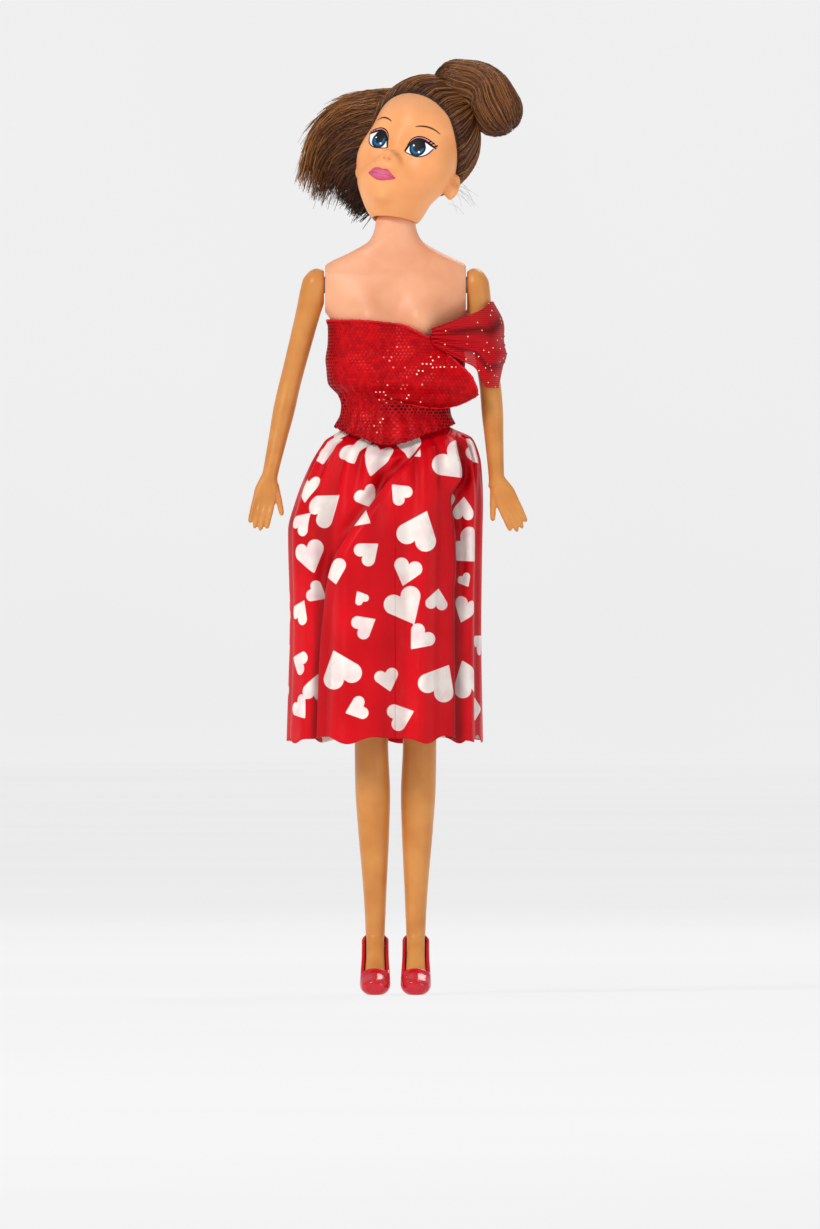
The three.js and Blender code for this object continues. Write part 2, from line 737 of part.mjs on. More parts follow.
function taperedBar(from, to, startRadius, endRadius) {
  const along = to.clone().sub(from);
  const length = along.length();
  along.normalize();
  const across = new THREE.Vector3(0, 1, 0).cross(along).normalize();
  const up = along.clone().cross(across);
  const places = [[0, 1], [0.86, 0.95], [1, 0.35]];
  const rings = places.map(([t, share]) => {
    const radius = (startRadius + (endRadius - startRadius) * t) * share;
    const centre = from.clone().addScaledVector(along, t * length);
    return Array.from({ length: 6 }, (_, k) => {
      const turn = (2 * PI * k) / 6;
      return centre.clone()
        .addScaledVector(across, radius * cos(turn))
        .addScaledVector(up, radius * sin(turn))
        .toArray();
    });
  });
  return solidOf(loft(rings));
}

// A peg through the side of the chest: a flange inside, a shank pressed into the arm
function makeShoulderPeg(side) {
  const inside = shoulderHalfWidth - torsoWall - fitGap - 0.2;
  const flange = rodSolid('x', pegFlange, inside - 1.6, inside, [0, shoulderHeight], 14);
  const end = shoulderHalfWidth + pegDepthInArm;
  const shank = rodSolid('x', pegRadius, inside - 0.8, end, [0, shoulderHeight], 14);
  const peg = flange.add(shank);
  return side > 0 ? peg : peg.mirror([1, 0, 0]);
}

// Legs: height above the soles, how far the middle is from the doll's middle, half width, half depth, shift
const legRows = [
  [ankleHeight - 5, ankleSpacing, ankleRadius - 0.2, ankleRadius + 0.2, 1.8],
  [ankleHeight, ankleSpacing, ankleRadius, ankleRadius + 0.4, 1.6],
  [ankleHeight + 10, ankleSpacing + 0.1, ankleRadius + 0.5, ankleRadius + 1, 1.6],
  [ankleHeight + 30, ankleSpacing + 0.5, calfRadius - 0.6, calfRadius, 1.7],
  [ankleHeight + 42, kneeSpacing - 0.4, calfRadius - 0.1, calfRadius + 0.7, 1.2],
  [legLength - 78, kneeSpacing, kneeRadius - 0.3, kneeRadius, 0],
  [legLength - 70, kneeSpacing, kneeRadius, kneeRadius + 0.5, -0.4],
  [legLength - 40, legSpacing - 0.9, thighRadius - 1.7, thighRadius - 0.8, 0],
  [legLength - 16, legSpacing - 0.2, thighRadius - 0.9, thighRadius - 0.05, 0],
  [legLength, legSpacing, thighRadius - 1, thighRadius, 0],
];

function legRing(centreX, centreY, height, halfWidth, halfDepth, count) {
  return Array.from({ length: count }, (_, k) => {
    const turn = (2 * PI * k) / count;
    return [centreX + halfWidth * cos(turn), centreY + halfDepth * sin(turn), height];
  });
}

// Foot: how far forward, height of the middle, half width, half height
const footRows = [
  [-5.4, shoeHeelHeight + 1.4, 1.3, 1.4],
  [-4.6, shoeHeelHeight + 1.8, 2.4, 2.6],
  [-1.6, shoeHeelHeight + 2.2, 2.9, 3.2],
  [3, shoeHeelHeight - 1.9, 2.9, 2.9],
  [8.4, 6.4, 3.3, 2.6],
  [11.4, 3.4, 3.5, 2.2],
  [14.6, 2.4, 2.9, 1.4],
  [16.4, 2.1, 1.5, 0.8],
];

function footSolid(offset) {
  const rings = footRows.map(([forward, height, halfWidth, halfHeight]) => (
    Array.from({ length: 12 }, (_, k) => {
      const turn = (2 * PI * k) / 12;
      const lean = (halfHeight + offset) * sin(turn) * 0.35;
      return [
        ankleSpacing + (halfWidth + offset) * cos(turn),
        -forward - (forward > 12 ? offset * 0.7 : 0) + (forward < -5 ? offset : 0) - lean,
        height + (halfHeight + offset) * sin(turn),
      ];
    })
  ));
  return solidOf(loft(rings));
}

function shankSolid(offset) {
  const profile = smoothRows(legRows);
  const heights = [
    ankleHeight - 5, ankleHeight, ankleHeight + 12, ankleHeight + 27, ankleHeight + 42,
    legLength - 79, legLength - 69, legLength - 55, legLength - 40, legLength - 20, legLength,
  ];
  const rings = heights.map((z) => {
    const [x, halfWidth, halfDepth, shift] = profile(z);
    return legRing(x, shift, z, halfWidth + offset, halfDepth + offset, 14);
  });
  for (const lift of [22, 44, 64, 82]) {
    const angle = lift * degrees;
    rings.push(legRing(
      legSpacing,
      0,
      legLength + thighRadius * sin(angle),
      (thighRadius - 1) * (0.25 + 0.75 * sqrt(cos(angle))) + offset,
      thighRadius * cos(angle) + offset,
      14,
    ));
  }
  return solidOf(loft(rings));
}

function makeLeg(side) {
  let leg = shankSolid(0).add(footSolid(0));
  leg = leg.intersect(boxSolid([legGap, -far, -far], [far, far, far]));
  leg = leg.subtract(rodSolid('x', axleRadius + runningGap, 0, axleHalfLength + 0.6, [0, legLength], 12));
  return side > 0 ? leg : leg.mirror([1, 0, 0]);
}

function makeHipAxle() {
  return rodSolid('x', axleRadius, -axleHalfLength, axleHalfLength, [0, legLength], 12);
}

function makeShoe(side) {
  const inside = footSolid(fitGap).add(shankSolid(fitGap));
  let shoe = footSolid(fitGap + shoeWall);
  const slope = Math.atan2(shoeHeelHeight - 3, 13);
  const cutter = new THREE.BoxGeometry(40, 26, 30);
  cutter.translate(0, 13, 15);
  cutter.rotateX(slope);
  cutter.translate(ankleSpacing, -9.8, 6.6);
  shoe = shoe.subtract(solidOf(cutter));
  const heel = new THREE.CylinderGeometry(2.7, 1.25, shoeHeelHeight, 10);
  heel.rotateX(PI / 2 + 0.05);
  heel.translate(ankleSpacing, 3.9, shoeHeelHeight / 2 - 0.6);
  shoe = shoe.add(solidOf(heel)).subtract(inside);
  shoe = shoe.intersect(boxSolid([-far, -far, 0], [far, far, far]));
  shoe = largestPiece(shoe);
  return side > 0 ? shoe : shoe.mirror([1, 0, 0]);
}

// Bodice: one strip that goes once round the chest and passes over its own start at the back
const bodiceTop = [
  [-270, hipToShoulder - 14.2],
  [-180, hipToShoulder - 11.6],
  [-125, hipToShoulder - 11.7],
  [-90, hipToShoulder - 12.8],
  [-60, hipToShoulder - 17],
  [0, hipToShoulder - 15.6],
  [90, hipToShoulder - 14.2],
];
const bodiceBottom = [
  [-270, hipToWaist - 8],
  [-180, hipToWaist - 7],
  [-125, hipToWaist - 10],
  [-95, hipToWaist - 12.8],
  [-60, hipToWaist - 9],
  [0, hipToWaist - 6],
  [90, hipToWaist - 8],
];
const bodiceTopAt = smoothRows(bodiceTop);
const bodiceBottomAt = smoothRows(bodiceBottom);
const bodiceStandOff = smoothRows([
  [hipToWaist - 13, 4.6],
  [hipToWaist - 7, 3.9],
  [hipToWaist - 3, 2.9],
  [hipToWaist, 2.7],
  [hipToWaist + 3, 3.4],
  [hipToWaist + 7, bodiceBlouse + 0.9],
  [hipToWaist + 13, bodiceBlouse],
  [hipToWaist + 19, 2.4],
  [hipToWaist + 25, clothGap + 0.15],
]);
const lapAngle = 20;
const bodiceStart = -270 - lapAngle;
const bodiceEnd = 90 + lapAngle;
const tapeStack = 2 * tapeThickness + 3 * clothGap;

// A place on the bodice: turn in degrees round the chest, height above the hip axis, distance out
function bodicePoint(turn, height, out) {
  const front = smoothStep(60, -10, turn) * smoothStep(-250, -190, turn);
  const [loose] = bodiceStandOff(height);
  const closeFit = clothGap + 0.3 + 2.5 * smoothStep(hipToWaist + 5, hipToWaist - 5, height);
  const rightBlouse = 2.4 * bell(turn + 38, 26) * bell(height - hipToWaist - 6, 5.5);
  const over = (clothThickness + tapeStack) * smoothStep(42, 64, turn);
  const stand = loose * front + closeFit * (1 - front) + rightBlouse + over;
  return torsoPoint(turn * degrees, legLength + height, stand + out);
}

function bodiceGrid(columns, rows, out) {
  return steps(rows).map((v) => steps(columns).map((u) => {
    const turn = bodiceStart + (bodiceEnd - bodiceStart) * u;
    const [top] = bodiceTopAt(turn);
    const [bottom] = bodiceBottomAt(turn);
    return bodicePoint(turn, top + (bottom - top) * v, out);
  }));
}

function makeBodice() {
  return solidOf(sheetSolid(bodiceGrid(38, 7, clothThickness), bodiceGrid(38, 7, 0), false));
}

function makeNecklineBinding() {
  const path = steps(38).map((u) => {
    const turn = bodiceStart + (bodiceEnd - bodiceStart) * u;
    const [top] = bodiceTopAt(turn);
    return bodicePoint(turn, top + clothGap + bindingRadius, bindingRadius);
  });
  return solidOf(bar(path, bindingRadius, 5));
}

// The rolled lower edge where the bodice blouses out on the doll's left front
function makeBlouseBinding() {
  const path = steps(9).map((u) => {
    const turn = -74 + 62 * u;
    const height = hipToWaist - 1.6 + 7 * u;
    return bodicePoint(turn, height, clothThickness + 2 * clothGap + bindingRadius);
  });
  return solidOf(bar(path, bindingRadius, 6));
}

// The two halves of the closing tape, between the bodice's under and over laps
function makeTape(layer) {
  const low = hipToWaist + 3;
  const high = hipToShoulder - 16.2;
  const base = clothThickness + clothGap + layer * (tapeThickness + clothGap);
  const spread = tapeWidth / 2 / 13 / degrees;
  const grid = (out) => steps(5).map((v) => steps(4).map((u) => {
    const turn = -270 - spread + 2 * spread * u;
    return bodicePoint(turn, low + (high - low) * v, base + out);
  }));
  return solidOf(sheetSolid(grid(tapeThickness), grid(0), false));
}

// Skirt waistband: a close ring on the waist that the gathers are sewn to
const bandTop = hipToWaist - 1;
const gatherLap = 2.6;

function edgeHeight(turn) {
  const place = turn > 110 * degrees ? turn / degrees - 360 : turn / degrees;
  return bodiceBottomAt(place)[0];
}

function makeWaistband() {
  const grid = (offset) => steps(2).map((v) => (
    Array.from({ length: 30 }, (_, k) => {
      const turn = -PI + (2 * PI * k) / 30;
      const low = edgeHeight(turn) + 0.6;
      return torsoPoint(turn, legLength + bandTop + (low - bandTop) * v, offset);
    })
  ));
  return solidOf(sheetSolid(grid(clothGap + clothThickness), grid(clothGap), true));
}

// Skirt outline below its top: drop, left, right, front and back reach of the outside
const skirtRows = [
  [0, 18.6, 19, 13, 11.4],
  [5, 21.6, 22.4, 15.4, 13.4],
  [12, 27, 26, 17.8, 15.6],
  [24, 31.6, 27, 19.6, 17],
  [33, 33.6, 27.2, 20.6, 18],
  [60, 33, 27.2, 21, 18.4],
  [skirtLength, 34, 27.6, 22, 19],
];
const skirtProfile = smoothRows(skirtRows);
const skirtTop = hipToWaist - 7;

// Where the big overlapping panel of the skirt starts and ends, by the drop below the top
const panelLeft = smoothRows([
  [0, 12], [6, 7.4], [12, 1.1], [22, -6.2], [33, -13.4], [40, -17.2], [49, -19.7], [72, -22],
  [skirtLength, -23],
]);
const panelRight = smoothRows([
  [0, 19], [16, 19], [23, 15.6], [34, 16.9], [44, 17.2], [54, 16.6], [skirtLength, 17],
]);

// A place on the skirt: turn round the waist, share of the way down to the hem, distance out
function skirtPoint(turn, share, out) {
  const edge = edgeHeight(turn) + gatherLap;
  const height = edge + (skirtTop - skirtLength - edge) * share;
  const below = edge - height;
  const [left, right, front, back] = skirtProfile(skirtTop - height);
  const c = cos(turn);
  const s = sin(turn);
  const growth = smoothStep(6, 36, below);
  const folds = 0.9 * growth * sin(9 * turn + 0.6) + 0.5 * growth * sin(16 * turn + 2.1 + below * 0.02);
  const gathers = 0.4 * smoothStep(2.6, 6, below) * smoothStep(20, 8, below) * sin(20 * turn);
  const away = out + folds + gathers;
  const x = ((c < 0 ? left : right) * skirtFullness + away * 0.45 - (c > 0 ? 0.4 : 0)) * power(c, 0.92);
  const [from] = panelLeft(skirtTop - height);
  const [to] = panelRight(skirtTop - height);
  const onPanel = smoothStep(from - 1.6, from + 1.6, x) * smoothStep(to + 1.6, to - 1.6, x);
  const lift = s < 0 ? 4.2 * onPanel * smoothStep(4, 15, below) * smoothStep(0, 0.35, -s) : 0;
  const y = ((s < 0 ? front : back) * skirtFullness + away) * power(s, 0.92) - lift;
  const sewn = torsoPoint(turn, legLength + height, 2 * clothGap + 2 * clothThickness + out);
  const free = smoothStep(2.4, 7, below);
  return [sewn[0] + (x - sewn[0]) * free, sewn[1] + (y - sewn[1]) * free, legLength + height];
}

function skirtGrid(columns, out) {
  const shares = [0, 0.03, 0.07, 0.13, 0.22, 0.34, 0.52, 0.76, 1];
  return shares.map((share) => Array.from({ length: columns }, (_, k) => {
    const u = (2 * PI * k) / columns;
    return skirtPoint(-PI / 2 + u - 0.18 * sin(u), share, out);
  }));
}

function makeSkirt() {
  return solidOf(sheetSolid(skirtGrid(60, 0), skirtGrid(60, -clothThickness), true));
}

// Drape: a gathered net band from the bodice's front, round the left arm, to the bodice's back
function drapePoint(u, v, out) {
  const armOut = armCentre + armRadius + 2.5;
  const path = new THREE.CatmullRomCurve3([
    new THREE.Vector3(11.3, -14.5, 0),
    new THREE.Vector3(20, -13.7, 0),
    new THREE.Vector3(28.4, -10.6, 0),
    new THREE.Vector3(armOut, -4.6, 0),
    new THREE.Vector3(armOut + 0.8, 2, 0),
    new THREE.Vector3(armOut - 3, 8, 0),
    new THREE.Vector3(25, 11, 0),
    new THREE.Vector3(15.6, 8.6, 0),
  ]);
  const point = path.getPoint(u);
  const along = path.getTangent(u);
  const wide = smoothStep(0, 0.5, u) * smoothStep(1, 0.62, u);
  const height = 6 + (drapeHeight - 6) * wide;
  const middle = hipToShoulder - 16.4 - 3.4 * wide;
  const fold = drapeFold * (0.35 + wide) * sin(PI * 5 * v + 4 * u);
  const reach = out + fold;
  const lean = 3.6 * v * wide;
  return [
    point.x + lean - along.y * reach,
    point.y + along.x * reach,
    legLength + middle + height * (0.5 - v),
  ];
}

function makeDrape() {
  const grid = (out) => steps(8).map((v) => steps(16).map((u) => drapePoint(u, v, out)));
  return solidOf(sheetSolid(grid(-0.35), grid(0.35), false));
}

const palette = {
  torso: [0xeeb08c, 0.42],
  head: [0xf0a878, 0.5],
  limb: [0xcf8a48, 0.45],
  plug: [0xe8e2d8, 0.5],
  axle: [0xb9b9b9, 0.35],
  hair: [0x6a3f1c, 0.55],
  elastic: [0x4a3424, 0.5],
  bodice: [0xc40a18, 0.4],
  binding: [0xa80512, 0.5],
  skirt: [0xd8101c, 0.35],
  net: [0xc01824, 0.5],
  tape: [0xf2f2f0, 0.8],
  shoe: [0xd01228, 0.3],
};

const doll = new THREE.Group();
doll.position.set(0, 0, -waistHeight);

function place(group, name, solid, finish) {
  const [color, roughness] = palette[finish];
  const metalness = finish === 'axle' ? 0.8 : 0;
  const material = new THREE.MeshStandardMaterial({ color, roughness, metalness });
  const mesh = new THREE.Mesh(geometryOf(solid), material);
  mesh.name = name;
  group.add(mesh);
}

const torso = makeTorso();
place(doll, 'torso_front', torso.front, 'torso');
place(doll, 'torso_back', torso.back, 'torso');
place(doll, 'neck_knob', makeNeckKnob(), 'plug');

const head = new THREE.Group();
head.position.set(0, 0, pivotHeight);
head.rotation.set(...headPose);
const skull = new THREE.Group();
skull.position.set(0, 0, -seatLift);
place(skull, 'head_shell', makeHead(), 'head');
place(skull, 'hair_cap', makeHairCap(), 'hair');
place(skull, 'hair_bun', makeBun(), 'hair');
place(skull, 'hair_tie', makeHairTie(), 'elastic');
place(skull, 'hair_loose', makeLooseHair(), 'hair');
head.add(skull);
doll.add(head);

place(doll, 'arm_right', makeArm(rightArm), 'limb');
place(doll, 'arm_left', makeArm(leftArm), 'limb');
place(doll, 'shoulder_peg_right', makeShoulderPeg(-1), 'plug');
place(doll, 'shoulder_peg_left', makeShoulderPeg(1), 'plug');
place(doll, 'leg_right', makeLeg(-1), 'limb');
place(doll, 'leg_left', makeLeg(1), 'limb');
place(doll, 'hip_axle', makeHipAxle(), 'axle');
place(doll, 'shoe_right', makeShoe(-1), 'shoe');
place(doll, 'shoe_left', makeShoe(1), 'shoe');
place(doll, 'bodice', makeBodice(), 'bodice');
place(doll, 'neckline_binding', makeNecklineBinding(), 'binding');
place(doll, 'blouse_binding', makeBlouseBinding(), 'binding');
place(doll, 'closure_loops', makeTape(0), 'tape');
place(doll, 'closure_hooks', makeTape(1), 'tape');
place(doll, 'skirt_waistband', makeWaistband(), 'skirt');
place(doll, 'skirt', makeSkirt(), 'skirt');
place(doll, 'shoulder_drape', makeDrape(), 'net');

export default doll;
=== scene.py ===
import bpy
import numpy as np
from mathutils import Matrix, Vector
from mathutils.geometry import delaunay_2d_cdt


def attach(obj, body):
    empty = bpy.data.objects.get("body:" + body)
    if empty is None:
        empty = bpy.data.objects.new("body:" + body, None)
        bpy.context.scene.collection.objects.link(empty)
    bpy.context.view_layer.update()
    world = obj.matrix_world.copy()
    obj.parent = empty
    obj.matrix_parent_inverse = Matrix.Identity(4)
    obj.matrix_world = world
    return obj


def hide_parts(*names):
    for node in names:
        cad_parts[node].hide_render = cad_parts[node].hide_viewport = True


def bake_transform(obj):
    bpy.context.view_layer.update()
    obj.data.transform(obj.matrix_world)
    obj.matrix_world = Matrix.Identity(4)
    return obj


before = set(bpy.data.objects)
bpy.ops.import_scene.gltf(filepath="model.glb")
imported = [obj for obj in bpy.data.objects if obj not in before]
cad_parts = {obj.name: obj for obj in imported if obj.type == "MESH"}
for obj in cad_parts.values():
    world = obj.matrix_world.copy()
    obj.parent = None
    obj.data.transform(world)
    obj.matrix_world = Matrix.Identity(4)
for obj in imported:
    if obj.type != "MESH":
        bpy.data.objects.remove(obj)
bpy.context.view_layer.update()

# A fashion doll as it looks. Sizes are in millimetres until to_frame() turns them into the frame's
# metres: x runs to the doll's left, y to its back and z up from the soles of its shoes.

MM = 0.001
DEGREE = np.pi / 180
LEG_LENGTH = 158.0
HIP_TO_WAIST = 28.0
HIP_TO_SHOULDER = 65.8
NECK_LENGTH = 22.7
HIP_TO_NECK_TOP = HIP_TO_SHOULDER + NECK_LENGTH
SHOULDER_HALF_WIDTH = 22.2
WAIST_HALF_WIDTH = 13.0
HIP_HALF_WIDTH = 17.4
CHEST_DEPTH = 10.0
NECK_RADIUS = 6.6
WAIST_HEIGHT = LEG_LENGTH + HIP_TO_WAIST
SHOULDER_HEIGHT = LEG_LENGTH + HIP_TO_SHOULDER
NECK_TOP = LEG_LENGTH + HIP_TO_NECK_TOP
SEAT_LIFT = 2.0
PIVOT_HEIGHT = NECK_TOP + 3.6
CLOTH_GAP = 0.35
FIT_GAP = 0.35
RUNNING_GAP = 0.45
PEG_RADIUS = 2.6
AXLE_RADIUS = 1.9
KNOB_STEM_RADIUS = 2.6
KNOB_HOLE_RADIUS = 3.8
HIP_SPACE_RADIUS = 9.1 + RUNNING_GAP
HIP_WALL = 1.25
# Past the doll on every side, for blocks that cut
FAR = 60

random = np.random.default_rng(11)


# Meshes

def to_frame(points):
    """From millimetres above the soles to the frame's metres from the waist"""
    moved = np.array(points, dtype=float)
    moved[..., 2] -= WAIST_HEIGHT
    return moved * MM


def make_object(name, points, faces, uv=None, values=None):
    """A mesh object from points in millimetres, with an optional UV and point values"""
    mesh = bpy.data.meshes.new(name)
    mesh.from_pydata(to_frame(points).tolist(), [], faces)
    mesh.polygons.foreach_set("use_smooth", np.ones(len(mesh.polygons), bool))
    if uv is not None:
        corner = np.empty(len(mesh.loops), np.int32)
        mesh.loops.foreach_get("vertex_index", corner)
        layer = mesh.uv_layers.new(name="flat")
        layer.data.foreach_set("uv", np.asarray(uv, np.float32)[corner].ravel())
    for key, value in (values or {}).items():
        add_value(mesh, key, value)
    mesh.update()
    obj = bpy.data.objects.new(name, mesh)
    bpy.context.scene.collection.objects.link(obj)
    return obj


def add_value(mesh, key, value):
    """Gives each point of a mesh a number under a name"""
    attribute = mesh.attributes.new(key, "FLOAT", "POINT")
    attribute.data.foreach_set("value", np.asarray(value, np.float32))


def points_of(obj):
    """The points of a mesh object in millimetres above the soles"""
    flat = np.empty(len(obj.data.vertices) * 3, np.float32)
    obj.data.vertices.foreach_get("co", flat)
    points = flat.reshape(-1, 3).astype(float) / MM
    points[:, 2] += WAIST_HEIGHT
    return points


def set_points(obj, points):
    obj.data.vertices.foreach_set("co", to_frame(points).astype(np.float32).ravel())


def full_turn(count):
    """Evenly spaced turns once round, in radians"""
    return np.linspace(0, 2 * np.pi, count, endpoint=False)


def grid_faces(rows, columns, wrapped):
    """Faces with four corners between the points of a grid, closed round where it is wrapped"""
    spans = columns if wrapped else columns - 1
    i = np.arange(rows - 1)[:, None]
    j = np.arange(spans)[None, :]
    a = i * columns + j
    b = i * columns + (j + 1) % columns
    return np.stack([a, b, b + columns, a + columns], -1).reshape(-1, 4)


def facing_out(points, faces):
    """The faces of a closed mesh, turned so that they face out"""
    a, b, c, d = (points[faces[:, k]] for k in range(4))
    volume = np.einsum("ij,ij->i", a, np.cross(b, c) + np.cross(c, d)).sum()
    return faces if volume > 0 else faces[:, ::-1]


def loft(name, rings, **options):
    """A closed solid through rings of points, with a fan over each end"""
    rings = np.asarray(rings, float)
    rows, columns = rings.shape[:2]
    points = rings.reshape(-1, 3)
    sides = facing_out(points, grid_faces(rows, columns, True))
    flipped = sides[0, 1] != 1
    ends = np.array([rings[0].mean(0), rings[-1].mean(0)])
    first = len(points)
    j = np.arange(columns)
    k = (j + 1) % columns
    last_ring = (rows - 1) * columns
    low = np.stack([k, j, np.full(columns, first)], -1)
    high = np.stack([last_ring + j, last_ring + k, np.full(columns, first + 1)], -1)
    if flipped:
        low, high = low[:, ::-1], high[:, ::-1]
    faces = sides.tolist() + low.tolist() + high.tolist()
    return make_object(name, np.vstack([points, ends]), faces, **options)


def grid_normals(grid, wrapped):
    """The unit normal at each point of a grid"""
    down = np.gradient(grid, axis=0)
    if wrapped:
        across = (np.roll(grid, -1, 1) - np.roll(grid, 1, 1)) / 2
    else:
        across = np.gradient(grid, axis=1)
    normal = np.cross(across, down)
    return normal / np.maximum(np.linalg.norm(normal, axis=-1, keepdims=True), 1e-9)


def cloth(name, grid, thickness, wrapped=False, uv=None, values=None):
    """A sheet with real thickness whose face lies on the grid and whose back lies under it"""
    rows, columns = grid.shape[:2]
    count = rows * columns
    back = grid - grid_normals(grid, wrapped) * thickness
    points = np.vstack([grid.reshape(-1, 3), back.reshape(-1, 3)])
    front = grid_faces(rows, columns, wrapped)
    spans = columns if wrapped else columns - 1
    j = np.arange(spans)
    k = (j + 1) % columns
    last = (rows - 1) * columns
    rims = [
        np.stack([k, j, j + count, k + count], -1),
        np.stack([last + j, last + k, last + k + count, last + j + count], -1),
    ]
    if not wrapped:
        i = np.arange(rows - 1) * columns
        right = i + columns - 1
        rims.append(np.stack([i, i + columns, i + columns + count, i + count], -1))
        rims.append(np.stack([right + columns, right, right + count, right + columns + count], -1))
    faces = facing_out(points, np.vstack([front, front[:, ::-1] + count] + rims))
    doubled = {key: np.tile(np.ravel(value), 2) for key, value in (values or {}).items()}
    flat = None if uv is None else np.tile(uv.reshape(-1, 2), (2, 1))
    return make_object(name, points, faces.tolist(), uv=flat, values=doubled)


def apply_modifiers(obj):
    """Makes what an object's modifiers show its real mesh"""
    graph = bpy.context.evaluated_depsgraph_get()
    mesh = bpy.data.meshes.new_from_object(obj.evaluated_get(graph), depsgraph=graph)
    old = obj.data
    obj.modifiers.clear()
    obj.data = mesh
    bpy.data.meshes.remove(old)
    mesh.name = obj.name
    mesh.polygons.foreach_set("use_smooth", np.ones(len(mesh.polygons), bool))


def combine(obj, other, operation="DIFFERENCE"):
    """Cuts other out of obj, or joins or intersects the two. The other one is used up"""
    step = obj.modifiers.new("combine", "BOOLEAN")
    step.operation = operation
    step.solver = "MANIFOLD"
    step.object = other
    apply_modifiers(obj)
    bpy.data.objects.remove(other)


def soften(obj, voxel, rounds):
    """Joins overlapping solids into one skin and smooths their creases"""
    remesh = obj.modifiers.new("skin", "REMESH")
    remesh.mode = "VOXEL"
    remesh.voxel_size = voxel * MM
    smooth = obj.modifiers.new("smooth", "SMOOTH")
    smooth.factor = 0.5
    smooth.iterations = rounds
    apply_modifiers(obj)


def joined(name, parts):
    """One object from several, which are used up"""
    points = []
    faces = []
    start = 0
    for part in parts:
        points.append(points_of(part))
        faces += [[start + i for i in polygon.vertices] for polygon in part.data.polygons]
        start += len(part.data.vertices)
        bpy.data.objects.remove(part)
    return make_object(name, np.vstack(points), faces)


def box(low, high):
    """A block between two opposite corners"""
    xs, ys, zs = zip(low, high)
    corners = np.array([[x, y, z] for z in zs for y in ys for x in xs], float)
    faces = [[0, 2, 3, 1], [4, 5, 7, 6], [0, 1, 5, 4], [2, 6, 7, 3], [0, 4, 6, 2], [1, 3, 7, 5]]
    return make_object("box", corners, faces)


def rod(axis, radius, start, end, at, sides=48):
    """A cylinder along x or z from start to end, at a place across it"""
    turn = full_turn(sides)
    across = [at[0] + radius * np.cos(turn), at[1] + radius * np.sin(turn)]
    rings = []
    for place in (start, end):
        along = np.full(sides, float(place))
        rings.append(np.stack([along, *across] if axis == "x" else [*across, along], -1))
    return loft("rod", rings)


def lathe(profile, sides, move):
    """A solid turned round z from a list of radius and height, moved by a function"""
    turn = full_turn(sides)
    rings = [
        np.stack([radius * np.cos(turn), radius * np.sin(turn), np.full(sides, height)], -1)
        for radius, height in profile
    ]
    return loft("lathe", move(np.array(rings)))


# Curves

def smooth_rows(rows):
    """A smooth curve through rows whose first column rises, without overshoot"""
    rows = np.asarray(rows, float)
    step = np.diff(rows[:, 0])
    secant = np.diff(rows[:, 1:], axis=0) / step[:, None]
    slope = np.zeros_like(rows[:, 1:])
    slope[0] = secant[0]
    slope[-1] = secant[-1]
    product = secant[:-1] * secant[1:]
    total = np.where(product > 0, secant[:-1] + secant[1:], 1)
    slope[1:-1] = np.where(product > 0, 2 * product / total, 0)

    def at(value):
        x = np.clip(value, rows[0, 0], rows[-1, 0])
        i = np.clip(np.searchsorted(rows[:, 0], x, side="left") - 1, 0, len(rows) - 2)
        h = step[i][..., None]
        t = (np.asarray(x) - rows[i, 0])[..., None] / h
        ends = (1 + 2 * t) * (1 - t) ** 2 * rows[i, 1:] + t * t * (3 - 2 * t) * rows[i + 1, 1:]
        return ends + h * (t * (1 - t) ** 2 * slope[i] + t * t * (t - 1) * slope[i + 1])

    return at


def smooth_curve(points, places, closed=False):
    """Points along a smooth curve through the given ones, at places from 0 to 1"""
    p = np.asarray(points, float)
    spans = len(p) if closed else len(p) - 1
    ends = (p[-1:], p[:2]) if closed else ([2 * p[0] - p[1]], [2 * p[-1] - p[-2]])
    p = np.vstack([ends[0], p, ends[1]])
    place = np.clip(np.asarray(places, float), 0, 1) * spans
    index = np.minimum(place.astype(int), spans - 1)
    t = (place - index)[..., None]
    a, b, c, d = (p[index + k] for k in range(4))
    ab, bc, cd = (np.linalg.norm(n - m, axis=-1, keepdims=True) ** 0.5
                  for m, n in ((a, b), (b, c), (c, d)))
    start = ((b - a) / ab - (c - a) / (ab + bc) + (c - b) / bc) * bc
    end = ((c - b) / bc - (d - b) / (bc + cd) + (d - c) / cd) * bc
    square = -3 * b + 3 * c - 2 * start - end
    cube = 2 * b - 2 * c + start + end
    return b + t * (start + t * (square + t * cube))


def lengths_along(path):
    """Length along a path from its start to each of its points"""
    return np.concatenate([[0], np.cumsum(np.linalg.norm(np.diff(path, axis=0), axis=1))])


def even_curve(points, places, closed=False):
    """The same curve with places measured along its length"""
    fine = np.linspace(0, 1, 801)
    length = lengths_along(smooth_curve(points, fine, closed))
    return smooth_curve(points, np.interp(np.asarray(places) * length[-1], length, fine), closed)


def halved(low, high, x, x_at, rounds):
    """The place between low and high where x_at, which rises, reaches x, found by halving"""
    for _ in range(rounds):
        middle = (low + high) / 2
        under = x_at(middle) < x
        low = np.where(under, middle, low)
        high = np.where(under, high, middle)
    return (low + high) / 2


def smooth_step(low, high, value):
    """0 up to low, 1 from high on, and a soft rise between. With low over high it falls"""
    t = np.clip((np.asarray(value, float) - low) / (high - low), 0, 1)
    return t * t * (3 - 2 * t)


def bell(value, width):
    """1 at nought, falling to 0 on both sides"""
    return np.exp(-((np.asarray(value, float) / width) ** 2))


def power(value, exponent):
    """A power that keeps the sign"""
    return np.sign(value) * np.abs(value) ** exponent


def unit(vectors):
    """The same directions with length 1"""
    return vectors / np.maximum(np.linalg.norm(vectors, axis=-1, keepdims=True), 1e-9)


